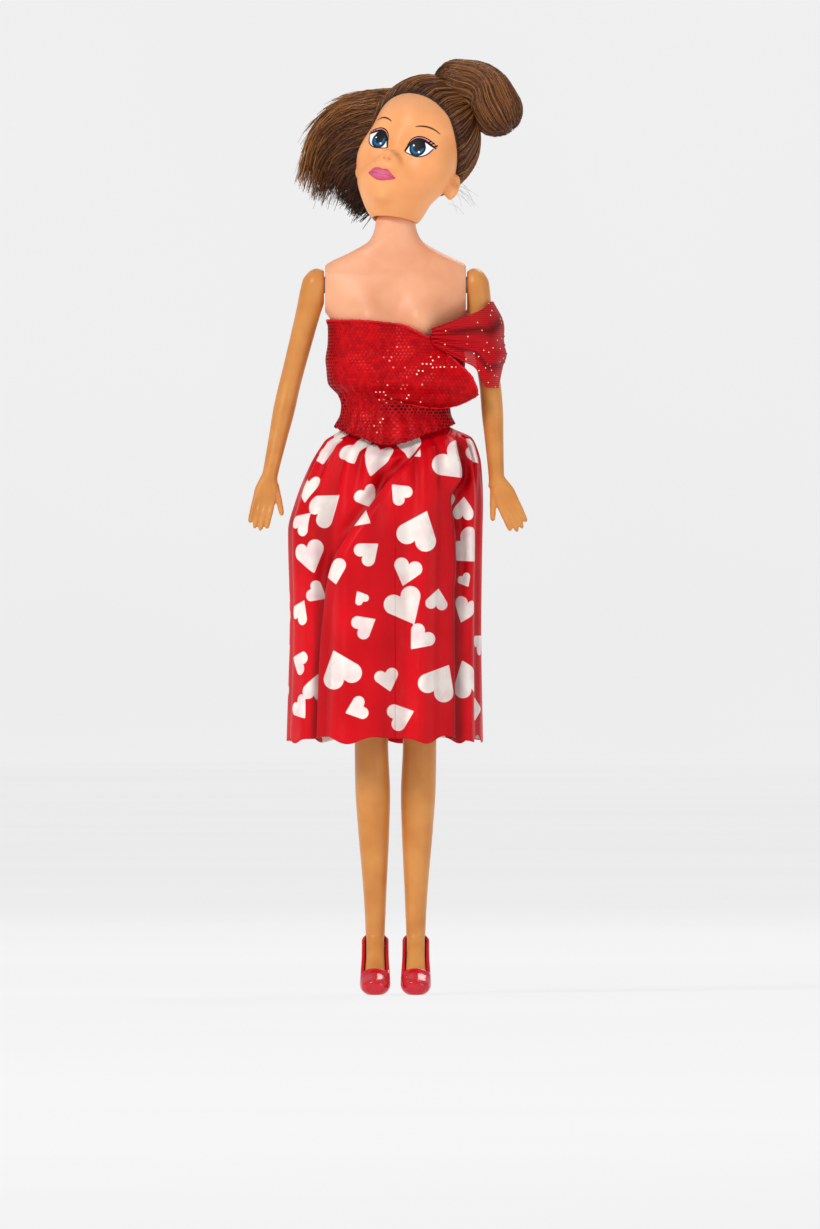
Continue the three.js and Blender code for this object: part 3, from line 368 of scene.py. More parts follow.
def strands(name, paths, radius, shade):
    """Many hairs in one mesh: each path is a tapered tube with three sides and closed ends"""
    count, steps = paths.shape[:2]
    along = unit(np.gradient(paths, axis=1))
    side = unit(np.cross(along, random.normal(size=(count, 1, 3))))
    other = np.cross(along, side)
    place = np.linspace(0, 1, steps)
    taper = 0.3 + 0.7 * np.sin(np.pi * np.clip(place * 0.9 + 0.07, 0, 1)) ** 0.5
    width = np.asarray(radius)[:, None] * taper[None, :]
    sides = 3
    rings = []
    for k in range(sides):
        turn = 2 * np.pi * k / sides
        ray = np.cos(turn) * side + np.sin(turn) * other
        rings.append(paths + ray * width[..., None])
    points = np.stack(rings, 2)
    i = np.arange(steps - 1)[:, None] * sides
    k = np.arange(sides)[None, :]
    n = (k + 1) % sides
    tube = np.stack([i + k, i + n, i + sides + n, i + sides + k], -1).reshape(-1, 4)
    starts = np.arange(count)[:, None, None] * steps * sides
    walls = (tube[None] + starts).reshape(-1, 4)
    end = (steps - 1) * sides
    caps = (np.array([[2, 1, 0], [end, end + 1, end + 2]])[None] + starts).reshape(-1, 3)
    values = {
        "shade": np.repeat(shade, steps * sides),
        "along": np.tile(np.repeat(place, sides), count),
    }
    return make_object(name, points.reshape(-1, 3), walls.tolist() + caps.tolist(), values=values)


# Materials

def srgb(code):
    """A colour written as in a paint program, as the renderer wants it"""
    parts = np.array([(code >> shift) & 255 for shift in (16, 8, 0)]) / 255
    linear = np.where(parts <= 0.04045, parts / 12.92, ((parts + 0.055) / 1.055) ** 2.4)
    return (*linear, 1.0)


def scaled(code, factor, added=0.0):
    """A colour with its channels made stronger or weaker"""
    return [min(channel * factor + added, 1.0) for channel in srgb(code)[:3]] + [1.0]


def new_material(name, roughness=0.5, **settings):
    """A material and its shader. Settings are the names of the shader's sockets"""
    material = bpy.data.materials.new(name)
    material.use_nodes = True
    shader = material.node_tree.nodes["Principled BSDF"]
    shader.inputs["Roughness"].default_value = roughness
    for key, value in settings.items():
        shader.inputs[key.replace("_", " ").title().replace("Ior", "IOR")].default_value = value
    return material, shader


def node(material, kind, inputs=(), **settings):
    """A new node with its inputs, which are values or other nodes' outputs"""
    made = material.node_tree.nodes.new("ShaderNode" + kind)
    for key, value in settings.items():
        setattr(made, key, value)
    for key, value in dict(inputs).items():
        connect(material, made.inputs[key], value)
    return made


def connect(material, socket, value):
    """Links a socket to another node's output, or sets it to a value"""
    if isinstance(value, bpy.types.NodeSocket):
        material.node_tree.links.new(value, socket)
    else:
        socket.default_value = value


def maths(material, operation, *values):
    return node(material, "Math", dict(enumerate(values)), operation=operation).outputs[0]


def vector_maths(material, operation, *values):
    return node(material, "VectorMath", dict(enumerate(values)), operation=operation).outputs[0]


def length_of(material, vector):
    return node(material, "VectorMath", {0: vector}, operation="LENGTH").outputs["Value"]


def mix(material, share, first, second):
    """The first colour where share is 0, the second one, a colour code, where it is 1"""
    inputs = {0: share, 6: first, 7: srgb(second) if isinstance(second, int) else second}
    return node(material, "Mix", inputs, data_type="RGBA").outputs[2]


def ramp(material, value, *stops):
    """Colours along a value. Each stop is a place and a colour or a colour code"""
    made = node(material, "ValToRGB", {"Fac": value})
    elements = made.color_ramp.elements
    while len(elements) < len(stops):
        elements.new(0.5)
    for element, (place, color) in zip(elements, stops):
        element.position = place
        element.color = srgb(color) if isinstance(color, int) else color
    return made.outputs["Color"]


def noise(material, scale, detail=3.0, vector=None):
    """Noise whose scale is in features per millimetre"""
    source = vector or node(material, "TexCoord").outputs["Object"]
    inputs = {"Vector": source, "Scale": scale / MM, "Detail": detail}
    return node(material, "TexNoise", inputs).outputs["Fac"]


def bump(material, shader, height, depth):
    """Relief whose depth is in millimetres"""
    made = node(material, "Bump", {"Height": height, "Distance": depth * MM, "Strength": 1.0})
    connect(material, shader.inputs["Normal"], made.outputs["Normal"])


def value_of(material, name):
    """A value that the mesh carries at its points"""
    return node(material, "Attribute", attribute_name=name).outputs["Fac"]


def flat_place(material):
    """The place on the flat piece, in millimetres or in shares of its size"""
    return node(material, "UVMap", uv_map="flat").outputs["UV"]


def step_down(material, value, low, high):
    """1 under low, 0 over high"""
    return node(material, "MapRange", {"Value": value, 1: low, 2: high, 3: 1.0, 4: 0.0}).outputs[0]


def step_up(material, value, low, high):
    """0 under low, 1 over high"""
    return node(material, "MapRange", {"Value": value, 1: low, 2: high, 3: 0.0, 4: 1.0}).outputs[0]


def color_with(material, shader, color):
    connect(material, shader.inputs["Base Color"], color)


def vinyl(name, base, shade, roughness, scatter=0.12, coat=0.0):
    """Moulded skin: a soft blotchiness, a faint grain and a little light under the surface"""
    material, shader = new_material(
        name, roughness, subsurface_weight=scatter, subsurface_scale=1.2 * MM,
        coat_weight=coat, coat_roughness=0.3, specular_ior_level=0.3,
    )
    blotch = noise(material, 0.09, 2.0)
    grain = noise(material, 2.4, 2.0)
    color_with(material, shader, ramp(material, blotch, (0.3, shade), (0.62, base)))
    rough = maths(material, "MULTIPLY_ADD", grain, 0.1, roughness - 0.05)
    connect(material, shader.inputs["Roughness"], rough)
    bump(material, shader, grain, 0.012)
    return material


def hard_plastic(name, base, roughness):
    """Moulded plastic with faint wear"""
    material, shader = new_material(name, roughness, specular_ior_level=0.5)
    wear = noise(material, 0.6, 4.0)
    color_with(material, shader, ramp(material, wear, (0.35, scaled(base, 0.86)), (0.6, base)))
    bump(material, shader, noise(material, 3.0), 0.01)
    return material


def paint(name, color, roughness=0.5, coat=0.0):
    """Printed paint on the face, with the slight unevenness of a printed layer"""
    material, shader = new_material(name, roughness, coat_weight=coat, specular_ior_level=0.2)
    thin = scaled(color, 1.12, 0.004)
    color_with(material, shader, ramp(material, noise(material, 1.5), (0.3, color), (0.75, thin)))
    return material


def give(obj, body, material):
    """Gives a piece its material and its slot, and lets it ride on a body"""
    obj.data.materials.clear()
    obj.data.materials.append(material)
    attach(obj, body)
    return obj


# Torso

ROUND_POWER = 0.86
TORSO_ROWS = [
    [-9, 3.6, 4.6, 6],
    [-4, 12.6, 8, 9.4],
    [0, HIP_HALF_WIDTH - 1.2, 8.8, 10.6],
    [8, HIP_HALF_WIDTH, 9.2, 11.2],
    [16, HIP_HALF_WIDTH - 1.9, 8.6, 9.7],
    [HIP_TO_WAIST, WAIST_HALF_WIDTH, 7.2, 7],
    [HIP_TO_WAIST + 10, WAIST_HALF_WIDTH + 1.7, 8, 7.6],
    [HIP_TO_SHOULDER - 19.5, SHOULDER_HALF_WIDTH - 4.6, CHEST_DEPTH - 0.4, 8.6],
    [HIP_TO_SHOULDER - 12, SHOULDER_HALF_WIDTH - 2.2, CHEST_DEPTH + 0.5, 9.3],
    [HIP_TO_SHOULDER - 4, SHOULDER_HALF_WIDTH + 2.4, CHEST_DEPTH, 9.4],
    [HIP_TO_SHOULDER + 2.5, SHOULDER_HALF_WIDTH + 2.4, CHEST_DEPTH - 1.6, 8.8],
    [HIP_TO_SHOULDER + 5.2, SHOULDER_HALF_WIDTH + 1, CHEST_DEPTH - 3, 7.8],
    [HIP_TO_SHOULDER + 7, SHOULDER_HALF_WIDTH - 1.2, CHEST_DEPTH - 3.7, 7],
    [HIP_TO_NECK_TOP - 12.6, NECK_RADIUS + 8, NECK_RADIUS - 0.9, 6.8],
    [HIP_TO_NECK_TOP - 8.6, NECK_RADIUS + 1.6, NECK_RADIUS - 0.7, NECK_RADIUS + 0.1],
    [HIP_TO_NECK_TOP - 5.4, NECK_RADIUS + 0.1, NECK_RADIUS - 0.5, NECK_RADIUS - 0.1],
    [HIP_TO_NECK_TOP - 1.8, NECK_RADIUS - 0.6, NECK_RADIUS - 0.9, NECK_RADIUS - 0.6],
    [HIP_TO_NECK_TOP, NECK_RADIUS - 2, NECK_RADIUS - 2, NECK_RADIUS - 2],
]
torso_profile = smooth_rows(TORSO_ROWS)


def torso_point(angle, height, offset):
    """A place on the torso: turn in radians, height above the soles, distance out"""
    angle, height, offset = np.broadcast_arrays(angle, height, offset)
    rows = torso_profile(height - LEG_LENGTH)
    c, s = np.cos(angle), np.sin(angle)
    limit = SHOULDER_HALF_WIDTH + offset
    x = (rows[..., 0] + offset) * power(c, ROUND_POWER)
    depth = np.where(s < 0, rows[..., 1], rows[..., 2])
    y = (depth + offset) * power(s, ROUND_POWER)
    bust = 5 * bell(np.abs(x) - 8.6, 6) * bell(height - LEG_LENGTH - 54, 7.5)
    return np.stack([np.clip(x, -limit, limit), np.where(s < 0, y + bust * s, y), height], -1)


def make_torso():
    """The hollow body with its places for legs, arms, pins and neck, in a front and a back half"""
    wall = 1.7
    heights = np.concatenate([
        np.linspace(-9, HIP_TO_NECK_TOP - 2, 150),
        np.linspace(HIP_TO_NECK_TOP - 1.8, HIP_TO_NECK_TOP, 8),
    ]) + LEG_LENGTH
    turn = full_turn(160)
    torso = loft("torso", torso_point(turn[None, :], heights[:, None], 0.0))
    inner = np.linspace(HIP_TO_WAIST / 2, HIP_TO_NECK_TOP - 2.6, 40) + LEG_LENGTH
    combine(torso, loft("hollow", torso_point(full_turn(48)[None, :], inner[:, None], -wall)))
    for side in (-1, 1):
        left, right = sorted((side * HIP_WALL, side * FAR))
        combine(torso, rod("x", HIP_SPACE_RADIUS, left, right, (0, LEG_LENGTH)))
        combine(torso, box((left, -FAR, 120), (right, 0, LEG_LENGTH + HIP_SPACE_RADIUS + 0.2)))
        combine(torso, box((left, -FAR, 120), (right, FAR, LEG_LENGTH + 3)))
        hole = sorted((side * 10, side * FAR))
        combine(torso, rod("x", PEG_RADIUS + FIT_GAP, *hole, (0, SHOULDER_HEIGHT)))
    combine(torso, rod("x", AXLE_RADIUS + FIT_GAP, -FAR, FAR, (0, LEG_LENGTH)))
    combine(torso, rod("z", KNOB_STEM_RADIUS + FIT_GAP, SHOULDER_HEIGHT, NECK_TOP + 5, (0, 0)))
    back = torso.copy()
    back.data = torso.data.copy()
    bpy.context.scene.collection.objects.link(back)
    seam = 0.6
    joint = 0.05
    combine(torso, box((-FAR, -FAR, 100), (FAR, seam - joint, 400)), "INTERSECT")
    combine(back, box((-FAR, seam + joint, 100), (FAR, FAR, 400)), "INTERSECT")
    torso.name = "torso_front_shell"
    back.name = "torso_back_shell"
    skin = vinyl("torso plastic", 0xF0AD86, 0xE39C74, 0.42, scatter=0.1, coat=0.06)
    for half, stands_for in ((torso, "torso_front"), (back, "torso_back")):
        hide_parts(stands_for)
        give(half, "torso", skin)


# Head

HEAD_TURN = 25 * DEGREE
HEAD_ROLL = 13 * DEGREE
HEAD_PITCH = 12 * DEGREE
HEAD_MIDDLE = np.array([0, 1, 19.0])
# The head as soft blends of egg shapes: middle, radii and how softly each joins the others
HEAD_FORMS = [
    ((0, 4.4, 24.8), (15.5, 17, 17.6), 0),
    ((7.0, -1.6, 14.2), (9.0, 9.6, 11.2), 3.5),
    ((-7.0, -1.6, 14.2), (9.0, 9.6, 11.2), 3.5),
    ((0, -5.8, 5.4), (11.3, 8.8, 7), 4),
    ((0, -11.8, 1.8), (3.6, 3, 3.2), 2.5),
    ((0, 0.6, 1.4), (9.5, 9.8, 8.2), 5.5),
    ((0, -10.4, 17.6), (2, 2, 5.4), 3),
    ((0, -14.9, 12.9), (2, 2.1, 1.7), 2.1),
    ((1.9, -13.4, 12), (1.2, 1.5, 1.15), 1.6),
    ((-1.9, -13.4, 12), (1.2, 1.5, 1.15), 1.6),
    ((0, -10.8, 7), (6.4, 4.2, 4.6), 3.5),
    ((0, -14.9, 7.1), (4.2, 1.5, 0.95), 0.9),
    ((0, -14.7, 5.6), (3.4, 1.4, 0.95), 0.9),
    ((16, 3, 11.2), (2.2, 1.8, 4.2), 0.9),
    ((-16, 3, 11.2), (2.2, 1.8, 4.2), 0.9),
]


def turned(axis, angle):
    """A turn about x, y or z as a matrix"""
    c, s = np.cos(angle), np.sin(angle)
    if axis == "x":
        return np.array([[1, 0, 0], [0, c, -s], [0, s, c]])
    if axis == "y":
        return np.array([[c, 0, s], [0, 1, 0], [-s, 0, c]])
    return np.array([[c, -s, 0], [s, c, 0], [0, 0, 1]])


HEAD_POSE = turned("y", HEAD_ROLL) @ turned("z", -HEAD_TURN) @ turned("x", -HEAD_PITCH)


def head_to_doll(points):
    """From the head's own place, upright and facing -y, to where the doll holds it"""
    lifted = np.asarray(points, float) - [0, 0, SEAT_LIFT]
    return lifted @ HEAD_POSE.T + [0, 0, PIVOT_HEIGHT]


def egg_distance(points, at, radii):
    """About how far points are from an egg shape, negative inside"""
    p = points - np.array(at, float)
    r = np.array(radii, float)
    near = np.linalg.norm(p / r, axis=-1)
    return near * (near - 1) / np.maximum(np.linalg.norm(p / r ** 2, axis=-1), 1e-9)


def head_distance(points):
    """About how far points are from the head's skin, negative inside"""
    distance = egg_distance(points, *HEAD_FORMS[0][:2])
    for at, radii, blend in HEAD_FORMS[1:]:
        other = egg_distance(points, at, radii)
        share = np.maximum(blend - np.abs(distance - other), 0) / blend
        distance = np.minimum(distance, other) - share * share * blend / 4
    return distance


def head_point(directions, offset):
    """Where rays from the head's middle leave it, moved out by offset"""
    directions = np.asarray(directions, float)
    reach = np.full(directions.shape[:-1], 32.0)
    for _ in range(60):
        reach -= 0.85 * head_distance(HEAD_MIDDLE + directions * reach[..., None])
    return HEAD_MIDDLE + directions * (reach + offset)[..., None]


def head_rings(columns, rows, offset):
    """Rings round the head from the chin to the crown, closer together over the face"""
    lift = np.linspace(-np.pi / 2 + 0.03, np.pi / 2 - 0.02, rows)[:, None]
    u = full_turn(columns)[None, :]
    turn = -np.pi / 2 + u - 0.55 * np.sin(u)
    rays = [np.cos(lift) * np.cos(turn), np.cos(lift) * np.sin(turn), np.sin(lift) + 0 * turn]
    return head_point(np.stack(rays, -1), offset)


def make_head():
    """The hollow head with the hole for the knob and the room that the neck needs when it nods"""
    head = loft("head_vinyl_shell", head_to_doll(head_rings(260, 210, 0.0)))
    wall = 1.9
    floor = SEAT_LIFT + 1
    hollow = head_rings(60, 40, -wall)
    reach = np.linalg.norm(hollow - HEAD_MIDDLE, axis=-1)
    least = reach.copy()
    for shift in (-2, -1, 1, 2):
        least = np.minimum(least, np.roll(reach, shift, 1))
    least[1:-1] = np.minimum(least[1:-1], np.minimum(least[:-2], least[2:]))
    hollow = HEAD_MIDDLE + (hollow - HEAD_MIDDLE) * (least / reach)[..., None]
    hollow[..., 2] = np.maximum(hollow[..., 2], floor)
    combine(head, loft("hollow", head_to_doll(hollow)))
    hole = [(KNOB_HOLE_RADIUS, -2), (KNOB_HOLE_RADIUS, floor + 2)]
    combine(head, lathe(hole, 40, head_to_doll))
    flare = [(6.2, -1.2), (5.4, SEAT_LIFT - 1)]
    combine(head, lathe(flare, 64, head_to_doll))
    neck = [
        (NECK_RADIUS + 8, -12.6), (NECK_RADIUS + 1.9, -8.6), (NECK_RADIUS + 0.2, -5.4),
        (NECK_RADIUS - 0.5, -1.6), (NECK_RADIUS - 2, FIT_GAP),
    ]
    profile = [(radius + RUNNING_GAP, height - (PIVOT_HEIGHT - NECK_TOP)) for radius, height in neck]
    for nod in (-4, 2, 8, 14):
        def move(points, lean=turned("x", -nod * DEGREE)):
            upright = points @ HEAD_POSE
            return head_to_doll(upright @ lean.T + [0, 0, SEAT_LIFT])
        combine(head, lathe(profile, 64, move))
    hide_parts("head_shell")
    give(head, "head", head_skin(head))


def head_skin(head):
    """Warm peach vinyl with a soft blush on the cheeks, a greyer crown under the hair and painted shade
    in the hollow of each ear
    """
    local = (points_of(head) - [0, 0, PIVOT_HEIGHT]) @ HEAD_POSE + [0, 0, SEAT_LIFT]
    front = smooth_step(2, -4, local[:, 1])
    cheek = sum(bell(np.hypot(local[:, 0] - side * 9.5, local[:, 2] - 9.5), 5.5) for side in (-1, 1))
    # Painted shade: a dark orange-brown spot inside each ear, where its hollow would lie in shadow
    ear_hollow_shade = bell(np.hypot(local[:, 1] - 1.9, (local[:, 2] - 11.6) * 0.6), 0.8)
    add_value(head.data, "blush", cheek * front)
    add_value(head.data, "crown", smooth_step(25, 36, local[:, 2]))
    add_value(head.data, "ear_shade", ear_hollow_shade * (np.abs(local[:, 0]) > 15.6))
    material = vinyl("head vinyl", 0xF9AE70, 0xF1A062, 0.45, scatter=0.12, coat=0.05)
    shader = material.node_tree.nodes["Principled BSDF"]
    color = shader.inputs["Base Color"].links[0].from_socket
    # The ear tint is painted shade in the ears' hollows
    tints = (("blush", 0.35, 0xF49A68), ("crown", 0.75, 0xD99B70), ("ear_shade", 0.6, 0xB8622C))
    for name, most, tint in tints:
        share = maths(material, "MULTIPLY", value_of(material, name), most)
        color = mix(material, share, color, tint)
    color_with(material, shader, color)
    return material


def on_face(x, z, stand_off):
    """The places on the front of the face at x and z of the head, a little off its skin"""
    points = np.stack([x, np.full_like(x, -32.0), z], -1)
    for _ in range(90):
        points[:, 1] += 0.8 * head_distance(points)
    step = 0.05
    slope = [
        head_distance(points + step * axis) - head_distance(points - step * axis)
        for axis in np.eye(3)
    ]
    return points + unit(np.stack(slope, -1)) * stand_off


def face_shape(name, outline, stand_off, material, spacing=0.34, centre=None, size=1.0, rounds=6):
    """A thin layer of paint inside an outline of x and z on the face"""
    edge = np.asarray(outline, float)
    if rounds:
        edge = even_curve(edge, np.linspace(0, 1, rounds * len(edge), endpoint=False), closed=True)
    low, high = edge.min(0), edge.max(0)
    xs, zs = (np.arange(low[k] + spacing / 2, high[k], spacing) for k in (0, 1))
    inside = np.stack(np.meshgrid(xs, zs), -1).reshape(-1, 2)
    flat = [Vector(p) for p in np.vstack([edge, inside])]
    ring = list(range(len(edge)))
    made, _, faces, *_ = delaunay_2d_cdt(flat, [], [ring], 1, 1e-4)
    flat = np.array([[p.x, p.y] for p in made])
    points = head_to_doll(on_face(flat[:, 0], flat[:, 1], stand_off))
    middle = edge.mean(0) if centre is None else np.array(centre)
    obj = make_object(name, points, [list(f)[::-1] for f in faces], uv=(flat - middle) / size)
    return give(obj, "head", material)


def face_line(name, path, width, stand_off, material, ends=0.25):
    """A painted line on the face that is thinner at its ends"""
    places = np.linspace(0, 1, 36)
    middle = even_curve(path, places)
    along = unit(np.gradient(middle, axis=0))
    across = np.stack([-along[:, 1], along[:, 0]], -1)
    half = width / 2 * (ends + (1 - ends) * np.sin(np.pi * places) ** 0.6)
    outline = np.vstack([middle + across * half[:, None], (middle - across * half[:, None])[::-1]])
    return face_shape(name, outline, stand_off, material, rounds=0)


def disc(centre, across, high, count=32):
    """The outline of an oval"""
    turn = full_turn(count)
    return np.stack([centre[0] + across * np.cos(turn), centre[1] + high * np.sin(turn)], -1)


# One eye of the doll's left, as x and z in the head. The other one mirrors it.
EYE_WHITE = [
    (3.2, 15.8), (3.9, 17.8), (4.9, 19.5), (5.8, 20.3), (7.3, 20.7), (8.9, 20.4), (10.2, 19.9),
    (11.5, 19.4), (10.9, 18.4), (10.2, 16.9), (9.0, 15.7), (7.4, 15.15), (5.4, 15.4),
]
UPPER_LID = [
    (3.1, 15.8), (3.8, 17.9), (4.8, 19.6), (5.8, 20.5), (7.3, 20.9), (8.9, 20.6), (10.3, 20.0),
    (11.9, 19.5),
]
LOWER_LID = [(11.3, 19.2), (10.5, 17.0), (9.1, 15.6), (7.4, 15.05), (5.4, 15.3), (3.1, 15.8)]
CREASE = [
    (3.4, 18.0), (4.2, 20.1), (5.5, 21.3), (7.4, 21.8), (9.0, 21.6), (10.6, 21.0), (11.5, 20.5),
]
LID_PINK = [(3.6, 17.9), (4.5, 19.7), (5.7, 20.8), (7.4, 21.3), (9.0, 21.1), (10.2, 20.7)]
LOWER_PINK = [(11.3, 18.4), (10.8, 17.0), (9.7, 15.7)]
IRIS_CENTRE = (6.8, 17.8)
PUPIL_CENTRE = (7.0, 19.2)
LASH_ROOTS = [(9.2, 20.75), (10.1, 20.45), (11.1, 20.0)]
BROW = [(4.2, 24.3), (5.9, 25.0), (7.9, 25.4), (9.8, 25.2), (11.2, 24.6)]
LIPS = [
    (-5.2, 5.9), (-4.0, 6.9), (-2.8, 7.8), (-1.5, 8.0), (-0.2, 7.75), (1.2, 8.0), (2.6, 7.4),
    (3.6, 6.7), (4.6, 5.9), (3.6, 5.2), (2.3, 4.6), (0.8, 4.1), (-0.9, 4.0), (-2.4, 4.4), (-3.9, 5.1),
]
MOUTH_LINE = [(-5.2, 5.9), (-2.8, 6.15), (-0.3, 5.85), (2.2, 6.1), (4.6, 5.9)]


def iris_paint():
    """Blue rays that brighten outwards, with a dark rim and a darker blue round the pupil"""
    material, shader = new_material("eye iris", 0.5, specular_ior_level=0.15)
    flat = flat_place(material)
    color = ramp(
        material, length_of(material, flat), (0.0, 0x07182B), (0.44, 0x092546), (0.55, 0x166894),
        (0.7, 0x155C86), (0.8, 0x08284A), (0.95, 0x030A12),
    )
    gradient = node(material, "TexGradient", {"Vector": flat}, gradient_type="RADIAL").outputs["Fac"]
    spokes = maths(material, "SINE", maths(material, "MULTIPLY", gradient, 190.0))
    light = maths(material, "MULTIPLY_ADD", spokes, 0.12, 1.0)
    rays = node(material, "HueSaturation", {"Value": light, "Color": color}).outputs["Color"]
    color_with(material, shader, rays)
    return material


def make_face_paint():
    """Eyes, brows, lips and nostrils as thin layers, one a little over the other"""
    white = paint("eye white", 0xF6F4F2)
    black = paint("eye black", 0x0A0808)
    brown = paint("brow brown", 0x54301A)
    pink = paint("lid pink", 0xEF7FA0)
    shine = paint("eye highlight", 0xFFFFFF, roughness=0.2)
    iris = iris_paint()
    lips = lip_paint()
    for side, label in ((1, "left"), (-1, "right")):
        def of(points):
            return [(side * x, z) for x, z in points]

        face_shape(f"eye_white_{label}", of(EYE_WHITE), 0.03, white)
        centre = of([IRIS_CENTRE])[0]
        rim = disc(centre, 2.6, 2.75)
        rim[:, 1] = np.minimum(rim[:, 1], 20.5)
        even = {"spacing": 0.25, "rounds": 0}
        face_shape(f"eye_iris_{label}", rim, 0.05, iris, centre=centre, size=2.7, **even)
        pupil = disc(of([PUPIL_CENTRE])[0], 1.85, 1.7)
        pupil[:, 1] = np.minimum(pupil[:, 1], 20.7)
        face_shape(f"eye_pupil_{label}", pupil, 0.07, black, **even)
        for number, (dx, dz, radius) in enumerate(((-1.35, 0.6, 0.26), (0.95, -1.1, 0.34))):
            spot = disc((centre[0] + dx, centre[1] + dz), radius, radius, 20)
            face_shape(f"eye_highlight_{label}_{number}", spot, 0.09, shine, rounds=0)
        face_line(f"eye_upper_lid_{label}", of(UPPER_LID), 0.85, 0.08, black, ends=0.5)
        face_line(f"eye_lower_lid_{label}", of(LOWER_LID), 0.34, 0.08, black, ends=0.6)
        face_line(f"eye_crease_{label}", of(CREASE), 0.4, 0.06, black)
        face_line(f"eye_lid_pink_{label}", of(LID_PINK), 0.42, 0.05, pink)
        face_line(f"eye_lower_pink_{label}", of(LOWER_PINK), 0.2, 0.05, pink)
        for number, (x, z) in enumerate(LASH_ROOTS):
            lash = of([(x, z), (x + 0.5, z + 0.3), (x + 0.75, z + 0.75)])
            face_line(f"eye_lash_{label}_{number}", lash, 0.5, 0.09, black)
            dot = disc(of([(x + 0.05, z + 0.28)])[0], 0.2, 0.16, 14)
            face_shape(f"eye_lash_dot_{label}_{number}", dot, 0.1, pink, rounds=0)
        face_line(f"brow_{label}", of(BROW), 0.55, 0.05, brown, ends=0.25)
    face_shape("lips", LIPS, 0.04, lips, rounds=8)
    face_line("mouth_line", MOUTH_LINE, 0.22, 0.06, paint("mouth line", 0xB8345C))
    nostril = paint("nostril shade", 0xD98452, roughness=0.6)
    for side, label in ((1, "left"), (-1, "right")):
        hole = disc((side * 0.95, 11.35), 0.4, 0.22, 16)
        face_shape(f"nostril_{label}", hole, 0.02, nostril, rounds=0)


def lip_paint():
    """Pink with fine lines across and a lighter middle"""
    material, shader = new_material("lip paint", 0.42, coat_weight=0.1, coat_roughness=0.25)
    flat = flat_place(material)
    across = node(material, "SeparateXYZ", {0: flat}).outputs
    lines = maths(material, "SINE", maths(material, "MULTIPLY", across["X"], 9.0))
    shade = maths(material, "MULTIPLY_ADD", lines, 0.12, noise(material, 0.5))
    painted = ramp(material, shade, (0.2, 0xBE2E5A), (0.7, 0xD64470))
    middle = length_of(material, vector_maths(material, "MULTIPLY", flat, (0.3, 0.75, 0)))
    light = maths(material, "MULTIPLY", step_down(material, middle, 0.3, 1.3), 0.6)
    color_with(material, shader, mix(material, light, painted, 0xD8759A))
    bump(material, shader, lines, 0.02)
    return material


# Hair

# The edge of the hair on the doll's left, from the forehead to the nape
HAIRLINE_HALF = [
    (0, -9.2, 35.5), (4.6, -8.6, 34.9), (8.3, -7.4, 33.3), (11.1, -5.7, 31.2), (13.1, -4.1, 28.2),
    (14.3, -2.2, 25.2), (15.0, -0.4, 22.4), (15.2, 3, 17.4), (15, 7.4, 15), (13.8, 10.4, 8.6),
    (9.4, 14, 4), (0, 16.4, 2),
]
BUN_DIRECTION = unit(np.array([0.5, 0.24, 0.83]))
BUN_PATH = [(6.4, 3.6, 44), (13.3, 6.4, 44.6), (19.2, 9.4, 40)]
BUN_RADIUS = 8.4
CAP_GAP = 0.35


def hairline(places):
    """Directions from the head's middle to places round the whole hairline"""
    other = [(-x, y, z) for x, y, z in HAIRLINE_HALF[1:-1][::-1]]
    return unit(even_curve(HAIRLINE_HALF + other, places, closed=True) - HEAD_MIDDLE)


def towards_bun(edges, t):
    """Directions from the hairline, at t 0, to the bun, at t 1"""
    angle = np.arccos(np.clip(edges @ BUN_DIRECTION, -1, 1))[..., None]
    t = np.asarray(t)[..., None]
    return (np.sin((1 - t) * angle) * edges + np.sin(t * angle) * BUN_DIRECTION) / np.sin(angle)


def hair_material(name, dark, middle, light):
    """Glossy nylon fibre coloured by each hair's shade value, which holds random tone and painted light
    and shade, and darkened by painted shade at its root
    """
    material, shader = new_material(name, 0.36, specular_ior_level=0.4)
    # Painted shade: each hair is darker over the first tenth of its length, by the scalp
    root_shade_mask = step_down(material, value_of(material, "along"), 0.0, 0.1)
    root = maths(material, "MULTIPLY", root_shade_mask, 0.12)
    level = maths(material, "SUBTRACT", value_of(material, "shade"), root)
    color_with(material, shader, ramp(material, level, (0.05, dark), (0.5, middle), (0.95, light)))
    fine = noise(material, 0.8, 2.0)
    connect(material, shader.inputs["Roughness"], maths(material, "MULTIPLY_ADD", fine, 0.2, 0.28))
    return material


def solid_hair(name, color):
    """The dense hair under the loose ones"""
    material, shader = new_material(name, 0.5)
    lines = noise(material, 0.9, 5.0)
    color_with(material, shader, ramp(material, lines, (0.3, color), (0.7, scaled(color, 2.2))))
    bump(material, shader, lines, 0.25)
    return material


